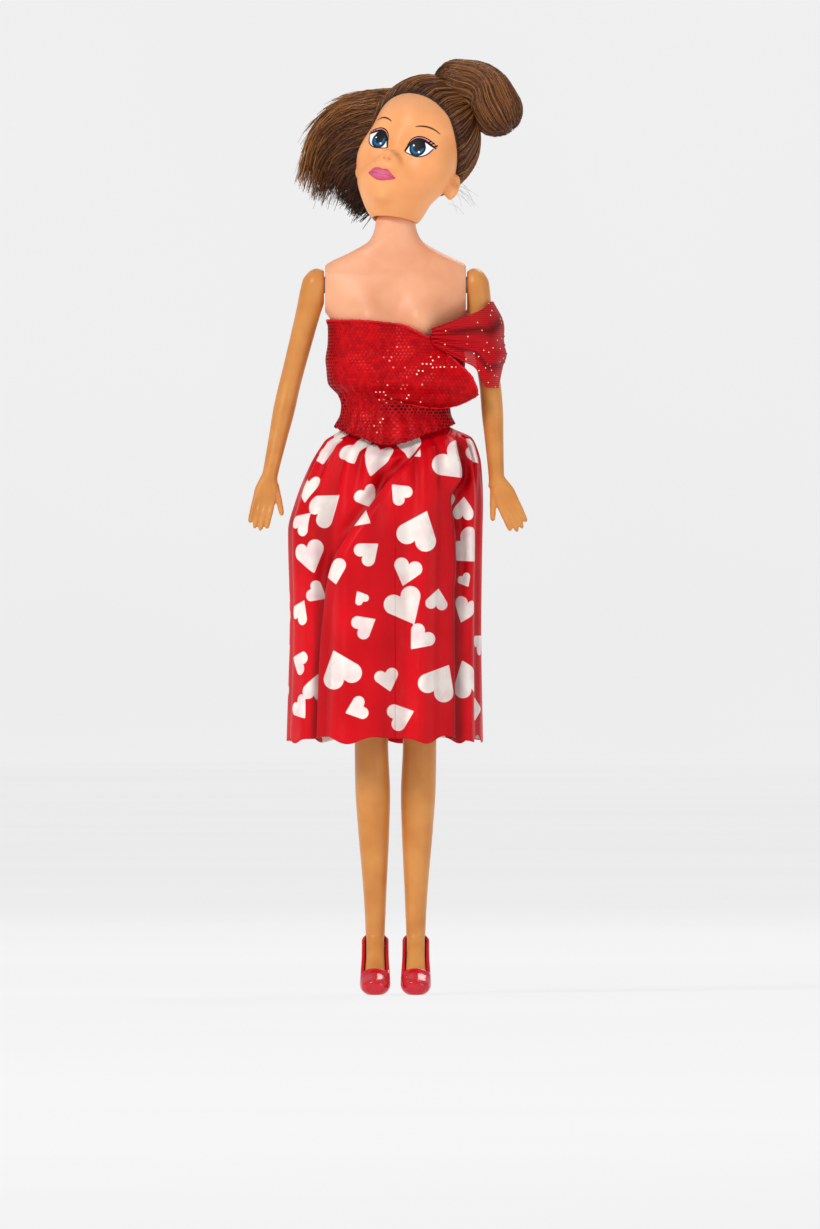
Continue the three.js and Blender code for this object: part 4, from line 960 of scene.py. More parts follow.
def make_hair_cap(fibre, under):
    """Hair drawn back from the hairline to the bun: dense rows under loose strands in locks"""
    around, rows = 220, 60
    t = np.linspace(0, 0.97, rows)[:, None]
    edges = hairline(np.linspace(0, 1, around, endpoint=False))[None, :, :]
    rise = -CAP_GAP + 0.05 + 1.1 * smooth_step(0, 0.2, t)
    grid = head_point(towards_bun(edges, t), CAP_GAP + rise)
    base = cloth("hair_cap_base", head_to_doll(grid)[:, ::-1], 0.3, wrapped=True)
    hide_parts("hair_cap")
    give(base, "head", under)
    count, steps = 2700, 13
    start = random.uniform(0, 1, count)
    begin = np.where(random.uniform(size=count) < 0.75, random.uniform(-0.02, 0.03, count),
                     random.uniform(0, 0.5, count))
    end = random.uniform(0.9, 1.0, count)
    s = np.linspace(0, 1, steps)[None, :]
    t = begin[:, None] + (end - begin)[:, None] * s
    drift = random.normal(0, 0.0016, count)[:, None] * np.sin(np.pi * s)
    edges = hairline((start[:, None] + drift) % 1)
    locks = np.sin(2 * np.pi * 46 * start + 1.2 * np.sin(9 * start)) * 0.5 + 0.5
    layer = random.uniform(0, 1, count)
    lift = 0.12 + (1.0 + 0.9 * layer + 0.3 * locks)[:, None] * smooth_step(-0.03, 0.15, t)
    swell = 0.8 * bell(t - 0.55, 0.25)
    paths = head_point(towards_bun(edges, t), lift + swell)
    # Painted light and shade: hairs that lie further out, and locks that stand higher, are lighter and
    # the inner ones darker, with random tone on top
    shade = np.clip(0.1 + 0.42 * layer + 0.14 * locks + random.normal(0, 0.17, count), 0, 1)
    made = strands("hair_cap_strands", head_to_doll(paths), random.uniform(0.11, 0.19, count), shade)
    give(made, "head", fibre)
    make_hair_plugs(fibre)


def make_hair_plugs(fibre):
    """The rooted tufts that come out of the scalp along the hairline"""
    count, steps = 150, 5
    start = (np.arange(count) + random.uniform(-0.2, 0.2, count)) / count
    s = np.linspace(0, 1, steps)[None, :]
    directions = towards_bun(hairline(start[:, None] % 1), -0.012 + 0.07 * s)
    paths = head_point(directions, 0.02 + 0.75 * s ** 0.8)
    shade = random.uniform(0.0, 0.12, count)
    made = strands("hair_plugs", head_to_doll(paths), np.full(count, 0.26), shade)
    give(made, "head", fibre)


def bun_point(around, along, radius, twist):
    """A place on the roll: turn round its axis, share of the way from end to end"""
    body = 16.0
    reach = along * (body + 2 * BUN_RADIUS) - BUN_RADIUS
    place = np.clip(reach / body, 0, 1)
    centre = smooth_curve(BUN_PATH, place)
    step = 0.01
    before = smooth_curve(BUN_PATH, np.clip(place - step, 0, 1))
    after = smooth_curve(BUN_PATH, np.clip(place + step, 0, 1))
    axis = unit(after - before)
    beyond = np.where(reach < 0, reach, np.where(reach > body, reach - body, 0))
    share = np.clip(np.abs(beyond) / BUN_RADIUS, 0, 1)
    slim = np.sqrt(np.maximum(1 - share ** 2, 0))
    turn = around + twist * along
    across = unit(np.cross(np.array([0, 1.0, 0]), axis))
    up = np.cross(axis, across)
    out = np.cos(turn)[..., None] * across + np.sin(turn)[..., None] * up
    swell = 1 + 0.03 * np.sin(np.pi * place)
    return centre + axis * beyond[..., None] * (radius / BUN_RADIUS)[..., None] + (
        out * (slim * radius * swell)[..., None])


def make_bun(fibre, under):
    """The rolled bun: a dense core under strands that wind round it"""
    along = (1 - np.cos(np.linspace(0.02, np.pi - 0.02, 70))) / 2
    turn, place = np.meshgrid(full_turn(90), along)
    core = bun_point(turn, place, np.full(turn.shape, BUN_RADIUS - 0.7), 0)
    body = loft("hair_bun_body", head_to_doll(core))
    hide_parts("hair_bun")
    give(body, "head", under)
    count, steps = 2600, 13
    start = random.uniform(0, 2 * np.pi, count)
    first = random.uniform(0.0, 0.25, count)
    last = random.uniform(0.75, 1.0, count)
    s = np.linspace(0, 1, steps)[None, :]
    place = first[:, None] + (last - first)[:, None] * s
    lock = np.sin(start * 23 + 2 * np.sin(start * 3)) * 0.5 + 0.5
    layer = random.uniform(0, 1, count)
    wander = random.normal(0, 0.05, count)[:, None] * np.sin(2 * np.pi * s)
    turn = start[:, None] + wander
    radius = BUN_RADIUS - 0.75 + (0.6 * layer + 0.14 * lock)[:, None] + 0 * s
    paths = bun_point(turn, place, radius, 0.7)
    # Painted light and shade: hairs that lie further out on the roll are lighter and the inner ones
    # darker, with random tone on top
    shade = np.clip(0.1 + 0.42 * layer + 0.1 * lock + random.normal(0, 0.17, count), 0, 1)
    made = strands("hair_bun_strands", head_to_doll(paths), random.uniform(0.11, 0.19, count), shade)
    give(made, "head", fibre)


TUFT_OUTER = [(-9, -1, 39.8), (-20, -1, 36.2), (-30.4, 0, 29.6), (-35.4, 0.6, 18.6), (-33.8, 1.4, 1.6)]
TUFT_INNER = [(-6, 11, 4), (-9.6, 12, 0.8), (-11.8, 12, -2.4), (-13.4, 11.6, -5), (-15, 11, -7.4)]
tuft_thickness = smooth_rows([
    [0, 9, 6.5], [0.25, 8, 4], [0.5, 6.6, 2.4], [0.75, 5.2, 1.6], [1, 2.6, 1],
])


def tuft_point(across, along, depth):
    """A place in the tuft: from its outer edge to the nape, from root to tip, from front to back"""
    outer = smooth_curve(TUFT_OUTER, along)
    inner = smooth_curve(TUFT_INNER, along)
    thick = tuft_thickness(along)
    width = np.sqrt(np.maximum(1 - (2 * across - 1) ** 2, 0)) ** 0.9
    lock = 1 + 0.1 * np.sin(9 * across + 2)
    point = outer + (inner - outer) * across[..., None]
    point[..., 1] += thick[..., 1] + thick[..., 0] * lock * width * depth
    return point


def make_loose_hair(fibre, under):
    """The brushed-out mass beside the face: a dense core under strands that fan out"""
    turn, rows = np.meshgrid(full_turn(72), np.linspace(0.0, 0.66, 40))
    core = tuft_point((0.84 - 0.72 * np.cos(turn)) / 2, rows, 0.72 * np.sin(turn))
    body = loft("hair_loose_body", head_to_doll(core))
    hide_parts("hair_loose")
    give(body, "head", under)
    count, steps = 3900, 11
    across = 0.86 * random.beta(1.0, 1.05, count)
    layer = random.uniform(-1, 1, count)
    front = np.where(layer < 0.3, -1.0, 1.0) * random.uniform(0.66, 1.0, count)
    last = random.uniform(0.35, 1.03, count)
    last = np.where(across < 0.45, last, random.uniform(0.6, 0.88, count))
    first = random.uniform(0, 0.3, count) * (last - 0.1)
    s = np.linspace(0, 1, steps)[None, :]
    along = first[:, None] + (last - first)[:, None] * s
    spread = random.normal(-0.02, 0.05, count)[:, None] * s
    place = np.clip(across[:, None] + spread, 0.0, 0.9)
    paths = tuft_point(place, np.clip(along, 0, 1), front[:, None] + 0 * s)
    beyond = np.maximum(along - 1, 0)[..., None]
    paths += beyond * np.array([-6.0, 0, -26.0])
    flick = (s ** 2.5 * (random.uniform(-0.3, 3.2, count) * (across < 0.6))[:, None])[..., None]
    paths += flick * np.array([-0.75, -0.2, -0.15])
    paths += random.normal(0, 0.7, (count, 1, 3)) * (s ** 2)[..., None]
    paths += random.normal(0, 0.22, (count, 1, 3)) * np.sin(np.pi * 2 * s)[..., None]
    # Painted light and shade: hairs are lighter at the tuft's outer edge and on its front layer and
    # darker towards its inner edge by the nape, with random tone on top
    light = 0.74 - 0.78 * across ** 0.8 + 0.08 * (front < 0)
    shade = np.clip(light + random.normal(0, 0.2, count), 0, 1)
    made = strands("hair_loose_strands", head_to_doll(paths), random.uniform(0.08, 0.16, count), shade)
    give(made, "head", fibre)


def make_wisps(fibre):
    """Fine flyaway hairs behind the neck"""
    count, steps = 14, 12
    s = np.linspace(0, 1, steps)[None, :, None]
    root = np.array([13.0, 10.5, 11.0]) + random.normal(0, 1, (count, 3)) * [0.5, 0.8, 3.0]
    reach = np.stack([random.uniform(4, 10, count), random.uniform(0, 2, count),
                      random.uniform(-5, 2, count)], -1)
    sag = np.array([0, 0, -3.0]) * random.uniform(0.4, 1.4, (count, 1))
    paths = root[:, None, :] + reach[:, None, :] * s + sag[:, None, :] * s ** 2
    made = strands("hair_wisps", head_to_doll(paths), np.full(count, 0.03), np.full(count, 0.6))
    give(made, "head", fibre)


def make_hair():
    """All the hair, in the order in which it draws from the random numbers"""
    fibre = hair_material("hair fibre", 0x160702, 0x5E3012, 0xB87A3C)
    # The dense cores under the strands are painted near-black brown, standing in for the shade inside the
    # hair
    under = solid_hair("hair under", 0x1C0B04)
    make_hair_cap(fibre, under)
    make_bun(fibre, under)
    make_loose_hair(fibre, under)
    make_wisps(fibre)


# Arms

ARM_UPPER = 31.0
ARM_LOWER = 31.0
ARM_RADIUS = 3.85
WRIST_RADIUS = 2.5
ARM_SHOULDER_RADIUS = 5.2
ELBOW_BEND = 11 * DEGREE
ELBOW_SOFTNESS = 6.0
ARM_CENTRE = SHOULDER_HALF_WIDTH + ARM_RADIUS - 0.75
RIGHT_ARM = {"side": -1, "splay": 14.4 * DEGREE, "inward": 2.4 * DEGREE, "hand_turn": 1 * DEGREE}
LEFT_ARM = {"side": 1, "splay": 8.2 * DEGREE, "inward": 5 * DEGREE, "hand_turn": 21 * DEGREE}
PALM_LENGTH = 9.4
PALM_HALF_WIDTH = 3.7
PALM_THICKNESS = 2.8
FINGER_RADIUS = 0.98
FINGER_LENGTH = 9.0
ARM_ROWS = [
    [-ARM_SHOULDER_RADIUS, 0.9, 0.9],
    [-ARM_SHOULDER_RADIUS + 0.7, 2.1, 2.2],
    [-ARM_SHOULDER_RADIUS + 2.2, 3.3, 3.5],
    [0, ARM_RADIUS + 0.45, ARM_RADIUS + 0.6],
    [10, ARM_RADIUS, ARM_RADIUS + 0.4],
    [ARM_UPPER - 12, ARM_RADIUS - 0.25, ARM_RADIUS],
    [ARM_UPPER, ARM_RADIUS - 0.45, ARM_RADIUS - 0.15],
    [ARM_UPPER + 8, ARM_RADIUS - 0.4, ARM_RADIUS - 0.2],
    [ARM_UPPER + 20, ARM_RADIUS - 0.95, ARM_RADIUS - 0.85],
    [ARM_UPPER + ARM_LOWER, WRIST_RADIUS, WRIST_RADIUS - 0.15],
    [ARM_UPPER + ARM_LOWER + 2.4, WRIST_RADIUS + 0.35, WRIST_RADIUS - 0.5],
]


def arm_point(along, shape):
    """A place on the arm's middle line, from the shoulder, with a soft bend at the elbow"""
    reach = np.maximum(along - ARM_UPPER, 0)
    bent = np.where(reach > 0, reach * reach / (reach + ELBOW_SOFTNESS), 0)
    straight = along - bent
    lower = bent * np.cos(ELBOW_BEND)
    splay, inward = shape["splay"], shape["inward"]
    return np.stack([
        straight * np.sin(splay) + lower * np.sin(splay - inward),
        -bent * np.sin(ELBOW_BEND),
        -straight * np.cos(splay) - lower * np.cos(splay - inward),
    ], -1)


def tube(centres, radii, sides, beside):
    """Rings round a path, each with its own radius. The path never runs along beside"""
    along = unit(np.gradient(centres, axis=0))
    across = unit(np.cross(np.array(beside, float), along))
    up = np.cross(along, across)
    turn = full_turn(sides)[None, :, None]
    out = np.cos(turn) * across[:, None] + np.sin(turn) * up[:, None]
    return centres[:, None] + out * np.asarray(radii)[:, None, None]


def digit(start, knuckle, end, radius):
    """A finger with a rounded tip and slight joints"""
    s = np.linspace(0, 1, 26)
    centres = smooth_curve([start, knuckle, end], s)
    joints = 1 + 0.07 * bell(s - 0.42, 0.07) + 0.06 * bell(s - 0.7, 0.06)
    tip = np.sqrt(np.clip(1 - np.clip((s - 0.88) / 0.12, 0, 1) ** 2, 0.02, 1))
    return loft("digit", tube(centres, radius * (1 - 0.26 * s) * joints * tip, 20, (0, 1, 0)))


def make_arm(shape, name):
    """An arm with its palm and five digits in one skin, flat where it meets the torso"""
    side, splay = shape["side"], shape["splay"]
    outward = np.array([np.cos(splay), 0, np.sin(splay)])
    wrist = ARM_UPPER + ARM_LOWER
    cap = (ARM_SHOULDER_RADIUS + 2) * (1 - np.cos(np.linspace(0, np.pi / 2, 14)))
    lengths = np.concatenate([cap - ARM_SHOULDER_RADIUS, np.linspace(3, wrist + 2.4, 60)])
    centres = arm_point(lengths, shape)
    along = unit(arm_point(lengths + 0.5, shape) - arm_point(lengths - 0.5, shape))
    fore = unit(np.cross(along, outward))
    half = smooth_rows(ARM_ROWS)(lengths)
    turn = full_turn(40)[None, :, None]
    rings = (centres[:, None] + outward * half[:, None, :1] * np.cos(turn)
             + fore[:, None] * half[:, None, 1:] * np.sin(turn))
    start = arm_point(np.array([wrist]), shape)[0]
    down = unit(start - arm_point(np.array([wrist - 1.0]), shape)[0])
    thick = unit(np.cross(down, outward))
    c, s = np.cos(shape["hand_turn"]), np.sin(shape["hand_turn"])
    down = unit(down * c + np.cross(thick, down) * s)
    out = unit(np.cross(thick, down))

    def hand_at(forward, across, depth):
        return start + np.outer(forward, down) + np.outer(across, out) + np.outer(depth, thick)

    palm_start = -1.5
    palm_rows = smooth_rows([
        [palm_start, WRIST_RADIUS - 0.5, WRIST_RADIUS - 0.8],
        [2, WRIST_RADIUS + 0.4, PALM_THICKNESS / 2 + 0.4],
        [6, PALM_HALF_WIDTH, PALM_THICKNESS / 2],
        [PALM_LENGTH, PALM_HALF_WIDTH - 0.1, PALM_THICKNESS / 2 - 0.3],
        [PALM_LENGTH + 1, PALM_HALF_WIDTH - 0.9, PALM_THICKNESS / 2 - 0.7],
    ])
    turn = full_turn(36)
    palm = []
    for place in np.linspace(palm_start, PALM_LENGTH + 1, 24):
        wide, deep = palm_rows(np.array(place))
        across = wide * power(np.cos(turn), 0.8)
        palm.append(hand_at(np.full(36, place), across, deep * power(np.sin(turn), 0.8)))
    parts = [loft("arm", rings), loft("palm", palm)]
    spread = PALM_HALF_WIDTH - FINGER_RADIUS
    for place, share in zip((-1, -0.34, 0.34, 1), (0.87, 1, 0.96, 0.8)):
        ends = hand_at(
            [PALM_LENGTH - 2.4, PALM_LENGTH + 3.4, PALM_LENGTH + FINGER_LENGTH * share],
            [place * spread, place * spread * 1.03, place * spread * 1.04], [0, 0.1, -0.9],
        )
        parts.append(digit(*ends, FINGER_RADIUS))
    beside = -PALM_HALF_WIDTH - np.array([-1.4, 1.2, 3])
    thumb = hand_at([2.6, 8, 12], beside, [-0.2, -0.6, -0.6])
    parts.append(digit(*thumb, FINGER_RADIUS * 1.15))
    arm = joined(name + "_vinyl", parts)
    set_points(arm, points_of(arm) * [side, 1, 1] + [side * ARM_CENTRE, 0, SHOULDER_HEIGHT])
    if side < 0:
        arm.data.flip_normals()
    arm.data.update()
    soften(arm, 0.34, 7)
    flat = side * (SHOULDER_HALF_WIDTH + FIT_GAP)
    low, high = sorted((flat, side * 90))
    combine(arm, box((low, -FAR, 100), (high, FAR, 300)), "INTERSECT")
    socket = sorted((side * 10, side * (SHOULDER_HALF_WIDTH + 3 + FIT_GAP)))
    combine(arm, rod("x", PEG_RADIUS + FIT_GAP, *socket, (0, SHOULDER_HEIGHT)))
    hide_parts(name)
    return give(arm, name, LIMB)


# Legs and shoes

LEG_SPACING = 9.3
KNEE_SPACING = 7.6
ANKLE_SPACING = 6.4
THIGH_RADIUS = 9.1
KNEE_RADIUS = 5.6
CALF_RADIUS = 5.6
ANKLE_RADIUS = 3.2
ANKLE_HEIGHT = 23.0
LEG_GAP = 1.7
SHOE_WALL = 1.0
SHOE_HEEL_HEIGHT = 14.5
LEG_ROWS = [
    [ANKLE_HEIGHT - 5, ANKLE_SPACING, ANKLE_RADIUS - 0.2, ANKLE_RADIUS + 0.2, 1.8],
    [ANKLE_HEIGHT, ANKLE_SPACING, ANKLE_RADIUS, ANKLE_RADIUS + 0.4, 1.6],
    [ANKLE_HEIGHT + 10, ANKLE_SPACING + 0.1, ANKLE_RADIUS + 0.5, ANKLE_RADIUS + 1, 1.6],
    [ANKLE_HEIGHT + 30, ANKLE_SPACING + 0.5, CALF_RADIUS - 0.6, CALF_RADIUS, 1.7],
    [ANKLE_HEIGHT + 42, KNEE_SPACING - 0.4, CALF_RADIUS - 0.1, CALF_RADIUS + 0.7, 1.2],
    [LEG_LENGTH - 78, KNEE_SPACING, KNEE_RADIUS - 0.3, KNEE_RADIUS, 0],
    [LEG_LENGTH - 70, KNEE_SPACING, KNEE_RADIUS, KNEE_RADIUS + 0.5, -0.4],
    [LEG_LENGTH - 40, LEG_SPACING - 0.9, THIGH_RADIUS - 1.7, THIGH_RADIUS - 0.8, 0],
    [LEG_LENGTH - 16, LEG_SPACING - 0.2, THIGH_RADIUS - 0.9, THIGH_RADIUS - 0.05, 0],
    [LEG_LENGTH, LEG_SPACING, THIGH_RADIUS - 1, THIGH_RADIUS, 0],
]
FOOT_ROWS = [
    [-5.4, SHOE_HEEL_HEIGHT + 1.4, 1.3, 1.4],
    [-4.6, SHOE_HEEL_HEIGHT + 1.8, 2.4, 2.6],
    [-1.6, SHOE_HEEL_HEIGHT + 2.2, 2.9, 3.2],
    [3, SHOE_HEEL_HEIGHT - 1.9, 2.9, 2.9],
    [8.4, 6.4, 3.3, 2.6],
    [11.4, 3.4, 3.5, 2.2],
    [14.6, 2.4, 2.9, 1.4],
    [16.4, 2.1, 1.5, 0.8],
]


def foot(offset, name="foot"):
    """The pointed foot on tiptoe from heel to toe, made larger by offset"""
    forward = np.linspace(FOOT_ROWS[0][0], FOOT_ROWS[-1][0], 70)
    rows = smooth_rows(FOOT_ROWS)(forward)
    turn = full_turn(40)[None, :]
    wide = rows[:, 1:2] + offset
    high = rows[:, 2:3] + offset
    shift = -offset * 0.7 * smooth_step(11, 15, forward) + offset * smooth_step(-4.6, -5.4, forward)
    y = -forward[:, None] + shift[:, None] - high * np.sin(turn) * 0.35
    points = [ANKLE_SPACING + wide * np.cos(turn), y, rows[:, :1] + high * np.sin(turn)]
    return loft(name, np.stack(points, -1))


def shank(offset, name="shank"):
    """The leg from the ankle to its domed top, made larger by offset"""
    heights = np.linspace(ANKLE_HEIGHT - 5, LEG_LENGTH, 120)
    rows = smooth_rows(LEG_ROWS)(heights)
    angle = np.linspace(4, 86, 18) * DEGREE
    dome = np.stack([
        np.full(18, LEG_SPACING),
        (THIGH_RADIUS - 1) * (0.25 + 0.75 * np.sqrt(np.cos(angle))),
        THIGH_RADIUS * np.cos(angle),
        np.zeros(18),
    ], -1)
    rows = np.vstack([rows, dome])
    heights = np.concatenate([heights, LEG_LENGTH + THIGH_RADIUS * np.sin(angle)])
    turn = full_turn(48)[None, :]
    x = rows[:, :1] + (rows[:, 1:2] + offset) * np.cos(turn)
    y = rows[:, 3:] + (rows[:, 2:3] + offset) * np.sin(turn)
    return loft(name, np.stack([x, y, heights[:, None] + 0 * turn], -1))


def mirrored(obj, side):
    """The same object, on the doll's right where side is -1"""
    if side < 0:
        set_points(obj, points_of(obj) * [-1, 1, 1])
        obj.data.flip_normals()
        obj.data.update()
    return obj


def make_leg(side, name):
    """A leg with its foot in one skin and the blind hole for the axle"""
    leg = joined(name + "_vinyl", [shank(0), foot(0)])
    soften(leg, 0.45, 6)
    combine(leg, box((LEG_GAP, -FAR, -10), (FAR, FAR, 300)), "INTERSECT")
    hole_end = 7.6
    combine(leg, rod("x", AXLE_RADIUS + RUNNING_GAP, 0, hole_end, (0, LEG_LENGTH)))
    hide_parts(name)
    return give(mirrored(leg, side), name, LIMB)


def make_shoe(side, name, body):
    """A court shoe: a shell round the foot, open on top, with a thin heel"""
    shoe = foot(FIT_GAP + SHOE_WALL, name + "_plastic")
    slope = np.arctan2(SHOE_HEEL_HEIGHT - 3, 13)
    cutter = box((-20, 0, 0), (20, 26, 30))
    set_points(cutter, points_of(cutter) @ turned("x", slope).T + [ANKLE_SPACING, -9.8, 6.6])
    combine(shoe, cutter)
    lean = turned("x", 0.05)
    fine = np.linspace(0, SHOE_HEEL_HEIGHT, 20)
    radii = np.interp(fine, [0, 2, 6, 10, SHOE_HEEL_HEIGHT], [1.3, 1.25, 1.45, 2.0, 2.7])

    def under_heel(points):
        return points @ lean.T + [ANKLE_SPACING, 3.9, -0.6]

    combine(shoe, lathe(zip(radii, fine), 40, under_heel), "UNION")
    inside = joined("inside", [foot(FIT_GAP), shank(FIT_GAP)])
    soften(inside, 0.5, 2)
    combine(shoe, inside)
    combine(shoe, box((-FAR, -FAR, 0), (FAR, FAR, FAR)), "INTERSECT")
    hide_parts(name)
    return give(mirrored(shoe, side), body, SHOE)


# Bodice

# Heights above the hip axis by the turn in degrees: -90 is in front and 90 behind
BODICE_TOP = [
    [-270, HIP_TO_SHOULDER - 14.2], [-180, HIP_TO_SHOULDER - 11.6], [-125, HIP_TO_SHOULDER - 11.7],
    [-90, HIP_TO_SHOULDER - 12.8], [-60, HIP_TO_SHOULDER - 17], [0, HIP_TO_SHOULDER - 15.6],
    [90, HIP_TO_SHOULDER - 14.2],
]
BODICE_BOTTOM = [
    [-270, HIP_TO_WAIST - 8], [-180, HIP_TO_WAIST - 7], [-125, HIP_TO_WAIST - 10],
    [-95, HIP_TO_WAIST - 12.8], [-60, HIP_TO_WAIST - 9], [0, HIP_TO_WAIST - 6], [90, HIP_TO_WAIST - 8],
]
bodice_top_at = smooth_rows(BODICE_TOP)
bodice_bottom_at = smooth_rows(BODICE_BOTTOM)
BODICE_BLOUSE = 5.2
BODICE_RADIUS = 17.5
# Where the dots get the most painted glints, as x and height above the soles
PAINTED_GLINT_SPOTS = [(-0.2, 200.9), (8.5, 196.1), (-4.1, 189.3), (-4.6, 178.2), (14.3, 198.5), (4, 187.4)]
CLOTH_THICKNESS = 0.8
bodice_stand_off = smooth_rows([
    [HIP_TO_WAIST - 13, 4.6], [HIP_TO_WAIST - 7, 3.9], [HIP_TO_WAIST - 3, 2.9], [HIP_TO_WAIST, 2.7],
    [HIP_TO_WAIST + 3, 3.4], [HIP_TO_WAIST + 7, BODICE_BLOUSE + 0.9], [HIP_TO_WAIST + 13, BODICE_BLOUSE],
    [HIP_TO_WAIST + 19, 2.4], [HIP_TO_WAIST + 25, CLOTH_GAP + 0.15],
])
LAP_ANGLE = 20
BODICE_START = -270 - LAP_ANGLE
BODICE_END = 90 + LAP_ANGLE
TAPE_STACK = 2 * 0.5 + 3 * CLOTH_GAP
BINDING_RADIUS = 0.55


def bodice_point(turn, height, out):
    """A place on the bodice: turn in degrees, height above the hip axis, distance out"""
    front = smooth_step(60, -10, turn) * smooth_step(-250, -190, turn)
    loose = bodice_stand_off(height)[..., 0]
    close_fit = CLOTH_GAP + 0.3 + 2.5 * smooth_step(HIP_TO_WAIST + 5, HIP_TO_WAIST - 5, height)
    left_blouse = 2.4 * bell(turn + 38, 26) * bell(height - HIP_TO_WAIST - 6, 5.5)
    over = (CLOTH_THICKNESS + TAPE_STACK) * smooth_step(42, 64, turn)
    stand = loose * front + close_fit * (1 - front) + left_blouse + over
    return torso_point(turn * DEGREE, LEG_LENGTH + height, stand + out)


def bodice_wrinkles(turn, height):
    """Soft folds: gathers at the waist, slanting pulls over the bust"""
    front = smooth_step(50, 0, turn) * smooth_step(-240, -190, turn)
    waist = bell(height - HIP_TO_WAIST - 1.5, 4.5)
    gathers = 0.3 * waist * np.sin(turn * 0.62 + 1.3 * np.sin(turn * 0.11))
    below = 0.28 * smooth_step(HIP_TO_WAIST - 1, HIP_TO_WAIST - 9, height) * np.sin(turn * 0.5 + 0.8)
    slant = height - HIP_TO_WAIST - 12 + 0.16 * (turn + 90)
    pull = 0.42 * np.sin(slant * 0.78) * bell(turn + 55, 42) * bell(slant, 9)
    sag = 0.5 * bell(height - HIP_TO_WAIST - 9 + 0.06 * (turn + 90), 2.6) * bell(turn + 100, 45)
    return (gathers + below + pull + sag) * front + gathers * (1 - front) * 0.6


def painted_glint_at(point):
    """How strongly painted glints show on the dots at places on the bodice"""
    near = [bell(np.hypot(point[..., 0] - x, (point[..., 2] - z) * 1.4), 4.2) for x, z in PAINTED_GLINT_SPOTS]
    return np.clip(sum(near), 0, 1) * (point[..., 1] < 0)


def dot_grid(material, flat, pitch, shift):
    """Distance to the nearest dot of one of the net's two grids, and a chance value for that dot"""
    cell = (pitch, pitch * 3 ** 0.5, 0)
    places = vector_maths(material, "MULTIPLY", flat, (1 / cell[0], 1 / cell[1], 1))
    moved = vector_maths(material, "ADD", places, (shift, shift, 0))
    part = vector_maths(material, "FRACTION", moved)
    centred = vector_maths(material, "SUBTRACT", part, (0.5, 0.5, 0))
    distance = length_of(material, vector_maths(material, "MULTIPLY", centred, cell))
    whole = vector_maths(material, "FLOOR", moved)
    named = vector_maths(material, "ADD", whole, (shift * 31, shift * 17, 0))
    chance = node(material, "TexWhiteNoise", {"Vector": named}, noise_dimensions="2D")
    return distance, chance.outputs["Value"]


def red_net_material():
    """Knit fabric under a net of small foil dots: some dots get painted glints that glow, and the open
    holes are painted near-black as the shade behind the net
    """
    material, shader = new_material("bodice fabric", 0.45, specular_ior_level=0.1)
    flat = flat_place(material)
    near_a, chance_a = dot_grid(material, flat, 1.22, 0.0)
    near_b, chance_b = dot_grid(material, flat, 1.22, 0.5)
    nearest = maths(material, "MINIMUM", near_a, near_b)
    is_a = maths(material, "LESS_THAN", near_a, near_b)
    other_chance = maths(material, "MULTIPLY", maths(material, "SUBTRACT", 1.0, is_a), chance_b)
    chance = maths(material, "MULTIPLY_ADD", is_a, chance_a, other_chance)
    dot = step_down(material, nearest, 0.3, 0.46)
    patches = maths(material, "MULTIPLY", noise(material, 0.12), 0.7)
    tone = maths(material, "MULTIPLY_ADD", chance, 0.5, patches)
    ground = ramp(material, tone, (0.2, 0x84000A), (0.55, 0xAE000C), (0.95, 0xCC0410))
    dotted = mix(material, maths(material, "MULTIPLY", dot, 0.36), ground, 0xE80614)
    hole = maths(material, "MULTIPLY", dot, value_of(material, "open"))
    # Painted shade: the net's open holes are painted near-black, standing for the shade inside the bodice
    # seen through them
    with_hole_shade = mix(material, maths(material, "MULTIPLY", hole, 0.97), dotted, 0x1C0103)
    # Painted highlight: chosen dots, more of them at the glint spots, turn pale cream as if catching the
    # light
    lucky = maths(material, "MULTIPLY_ADD", value_of(material, "painted_glint"), 0.32, chance)
    rare = step_up(material, lucky, 1.0, 1.14)
    painted_sparkle = maths(material, "MULTIPLY", rare, step_down(material, nearest, 0.12, 0.24))
    color_with(material, shader, mix(material, painted_sparkle, with_hole_shade, 0xFFE9C8))
    connect(material, shader.inputs["Metallic"], maths(material, "MULTIPLY", dot, 0.2))
    plain = maths(material, "MULTIPLY_ADD", dot, -0.12, 0.46)
    connect(material, shader.inputs["Roughness"], maths(material, "MULTIPLY_ADD", hole, 0.4, plain))
    # The painted glints glow a little, though nothing here is a lamp
    connect(material, shader.inputs["Emission Color"], srgb(0xFFF1DA))
    connect(material, shader.inputs["Emission Strength"], maths(material, "MULTIPLY", painted_sparkle, 0.75))
    bump(material, shader, step_down(material, nearest, 0.2, 0.6), 0.07)
    return material


def grid_area(grid):
    """Area of a grid of points, in square millimetres"""
    a, b, c, d = grid[:-1, :-1], grid[:-1, 1:], grid[1:, 1:], grid[1:, :-1]
    halves = (np.linalg.norm(np.cross(p - a, q - a), axis=-1) for p, q in ((b, c), (c, d)))
    return sum(halves).sum() / 2


def flat_size(grid):
    """Width and length of a sheet before it was sewn, in metres, and its area in square metres"""
    width = np.linalg.norm(np.diff(grid, axis=1), axis=-1).sum(1).max()
    length = np.linalg.norm(np.diff(grid, axis=0), axis=-1).sum(0).max()
    return (width * MM, length * MM), grid_area(grid) * MM * MM


